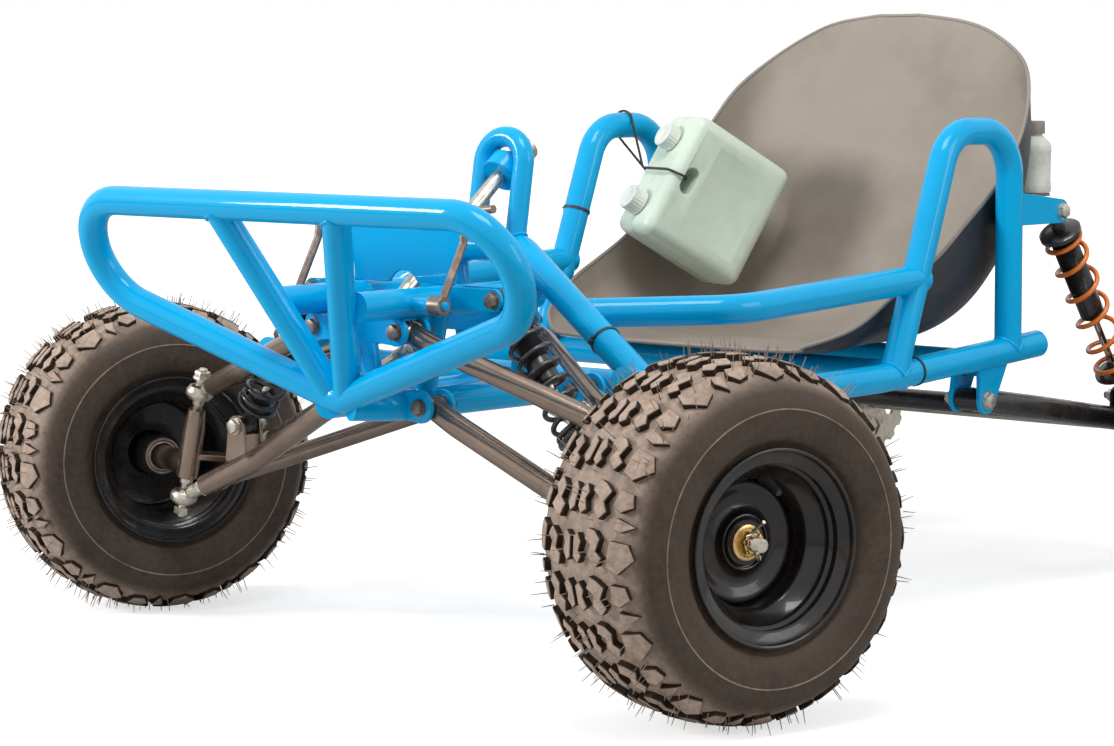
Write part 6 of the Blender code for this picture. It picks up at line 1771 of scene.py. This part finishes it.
# %% Steering
PITMAN_LENGTH, PITMAN_PLATE = 0.070, 0.006
COLUMN_PAST_LINK, COLUMN_PAST_RING = 0.035, 0.042
COLUMN_TURN = math.radians(18.3)
LINK_HALF, LINK_HEIGHT = 0.026, 0.010
TIE_ROD_RADIUS, TIE_ROD_GAP = 0.006, 0.0065
BALL_STUD_RADIUS, BALL_STUD_HEIGHT = 0.0075, 0.018
SOCKET_HALF = 0.0045
ACROSS = Vector((1, 0, 0))
column_foot = COLUMN_PASS - COLUMN_ALONG * COLUMN_PAST_LINK
column_top = COLUMN_BEARING + COLUMN_ALONG * COLUMN_PAST_RING
down = Vector((0, COLUMN_ALONG.z, -COLUMN_ALONG.y))
pitman_reach = (down * math.cos(COLUMN_TURN) + ACROSS * math.sin(COLUMN_TURN)).normalized()
pitman_end = column_foot + pitman_reach * PITMAN_LENGTH
pitman_outline = arc((PITMAN_LENGTH, 0), 0.009, -90, 90, 16) + arc((0, 0), 0.013, 90, 270, 16)
pitman_turn = axes(pitman_reach, COLUMN_ALONG.cross(pitman_reach), COLUMN_ALONG)
boss = turned([
    (0.0, -0.004), (0.0190, -0.004), (0.020, -0.003), (0.020, 0.004), (0.0190, 0.005), (0.0, 0.005),
], 40)
stop_ring = turned([(0.009, -0.004), (0.0135, -0.004), (0.0135, 0.004), (0.009, 0.004)], 32)
show("steering_shaft", [
    bar(COLUMN_RADIUS, column_foot, column_top, 32), at(boss, column_top, COLUMN_ALONG),
    moved(plate(pitman_outline, PITMAN_PLATE, 0.001), Matrix.Translation(column_foot) @ pitman_turn),
    at(stop_ring, COLUMN_BEARING + COLUMN_ALONG * 0.0168, COLUMN_ALONG),
], ZINC, "column", "steering_column")

link_middle = pitman_end + COLUMN_ALONG * (PITMAN_PLATE / 2 + LINK_HEIGHT / 2 + GAP)
link_place = Matrix.Translation(link_middle) @ axes(ACROSS, COLUMN_ALONG.cross(ACROSS), COLUMN_ALONG)
show("centre_link", [
    moved(block((2 * LINK_HALF, 0.016, LINK_HEIGHT), 0.0012), link_place),
    bar(0.004, link_middle, pitman_end - COLUMN_ALONG * 0.006, 20, 0.0006),
], ZINC, "centre_link", "steering_centre_link")

for side, word in SIDES:
    lower, _, pin = kingpin_axis(side)
    root, along, normal = steer_arm_axes(side)
    turn = Matrix.Rotation(STEER[word], 3, pin)
    head = lower + turn @ (root + along * STEER_ARM_LENGTH + normal * BALL_STUD_HEIGHT)
    axis = turn @ normal
    seat_height = STEER_ARM_PLATE / 2 + GAP - BALL_STUD_HEIGHT
    under_height = -STEER_ARM_PLATE / 2 - GAP - BALL_STUD_HEIGHT
    ball = arc((0, 0), BALL_STUD_RADIUS, -55, 65, 10)
    stud = turned([
        (0.0, under_height - 0.001), (0.004, under_height - 0.001), (0.004, seat_height),
        (0.0068, seat_height), (0.0068, seat_height + 0.002), (0.0042, seat_height + 0.005), *ball,
        (0.0, ball[-1][1]),
    ], 28)
    nut = at(hexagon(0.0125, 0.0055), (0, 0, under_height - 0.0057))
    show(word + "_ball_stud", at(joined(stud, nut), head, axis), ZINC, word + "_stud", word + "_tie_rod_stud")
    inner = Vector((link_middle.x + side * (LINK_HALF + TIE_ROD_GAP), link_middle.y, link_middle.z))
    inward = (inner - head).normalized()
    show(word + "_tie_rod_bar", [
        at(collar(0.0080, 0.0125, SOCKET_HALF, (0.0015, 0.0015), 36), head, axis),
        bar(TIE_ROD_RADIUS, head + inward * 0.0105, inner - inward * 0.002, 28),
        bar(0.0085, inner - inward * 0.030, inner - inward * 0.0035, 28, 0.0008),
        at(hexagon(0.0150, 0.006), head + inward * 0.030, inward),
        bar(0.0080, head + inward * 0.010, head + inward * 0.030, 28, 0.0006),
    ], ZINC, word + "_track_rod", word + "_tie_rod")

# %% [markdown]
# ## Rear end
# The swing arm is two tubes joined by a brace. It turns under the seat, and the solid axle with its
# two wheels, sprocket and brake disc runs in the round housings at its ends.

# %% Swing arm
BRACE_Y, BRACE_RADIUS = 0.985, 0.014
SWING_RADIUS = 0.016
knee_y, knee_z = SWING_PIVOT[1] + 0.12, SWING_PIVOT[2] - 0.019
brace_z = AXLE.z + (knee_z - AXLE.z) * (AXLE.y - BRACE_Y) / (AXLE.y - knee_y)
foot_y, foot_z = REAR_SHOCK_FOOT
arm_parts = []
arm_bolts = []
for side, _ in SIDES:
    pivot = mirror_x(SWING_PIVOT, side)
    axle_end = Vector((side * SWING_SIDE_X, AXLE.y, AXLE.z))
    arm_line = rounded_path([pivot, Vector((side * SWING_SIDE_X, knee_y, knee_z)), axle_end], 0.1)
    arm_parts += [
        tube(arm_line, 2 * SWING_RADIUS),
        at(collar(0.0066, 0.015, 0.019, segments=36), pivot, (1, 0, 0)),
        at(collar(0.0131, 0.026, 0.015, (0.0015, 0.0015), 48), axle_end, (1, 0, 0)),
    ]
    arm_parts += rear_clevis(side, REAR_SHOCK_FOOT, 0.014, (foot_y + 0.004, foot_z - 0.040), 0.040)
    arm_bolts += rear_shock_bolt(side, REAR_SHOCK_FOOT)
arm_parts.append(bar(BRACE_RADIUS, (-SWING_SIDE_X, BRACE_Y, brace_z), (SWING_SIDE_X, BRACE_Y, brace_z), 28))
for side, _ in SIDES:
    x = side * SWING_SIDE_X
    above, below = (x, BRACE_Y - 0.05, brace_z + 0.008), (x, BRACE_Y + 0.05, brace_z - 0.008)
    arm_parts += beads(
        bead((0, BRACE_Y, brace_z), (x, BRACE_Y, brace_z), BRACE_RADIUS, above, below, SWING_RADIUS),
    )
show("swing_arm_tubes", arm_parts, BLACK, "swing_arm_body", "swing_arm")
show("swing_arm_bolts", arm_bolts, ZINC, "swing_arm_body")

# %% Rear axle
REAR_AXLE_RADIUS, REAR_AXLE_PAST_HUB = 0.0125, 0.020
REAR_NUT_FLATS, REAR_NUT_HEIGHT = 0.034, 0.012
hub_face = REAR_WHEEL_X + HUB_TUBE_HALF
reach = ACROSS * (hub_face + REAR_AXLE_PAST_HUB)
axle_parts = [bar(REAR_AXLE_RADIUS, AXLE - reach, AXLE + reach, 36, 0.0012)]
for side, _ in SIDES:
    nut = hexagon(REAR_NUT_FLATS, REAR_NUT_HEIGHT)
    axle_parts.append(at(nut, AXLE + ACROSS * side * (hub_face + GAP), (side, 0, 0)))
show("rear_axle_bar", axle_parts, ZINC, "rear_axle_body", "rear_axle")

# %% Pedals
for side, name in ((-1, "brake_pedal"), (1, "throttle_pedal")):
    pivot = Vector((side * PEDAL_X, *PEDAL_PIVOT))
    path = rounded_path([pivot + Vector(step) for step in (
        (0, 0.004, 0.0), (0, 0.042, 0.070), (0, 0.046, 0.108), (side * 0.046, 0.046, 0.112),
    )], 0.012)
    show(name + "_lever", [
        tube(path, 0.010, sides=20), at(collar(BUSH_BORE, 0.011, 0.010), pivot, (1, 0, 0)),
    ], BOLT_STEEL, name + "_body", name)

# %% [markdown]
# ## Solids that keep their own shape
# The sprocket and the brake disc are right as they are, so they only get their finish.

# %% Finishes of the carried-over solids
slots = {row["node"]: row["material_slot"] for row in frame["record"]["subparts"]}
kept = []
for name, obj in frame["nodes"].items():
    if obj.hide_render:
        continue
    obj.data.materials.clear()
    obj.data.materials.append(BY_SLOT[slots[name]])
    kept.append(name)
print("solids kept:", kept)
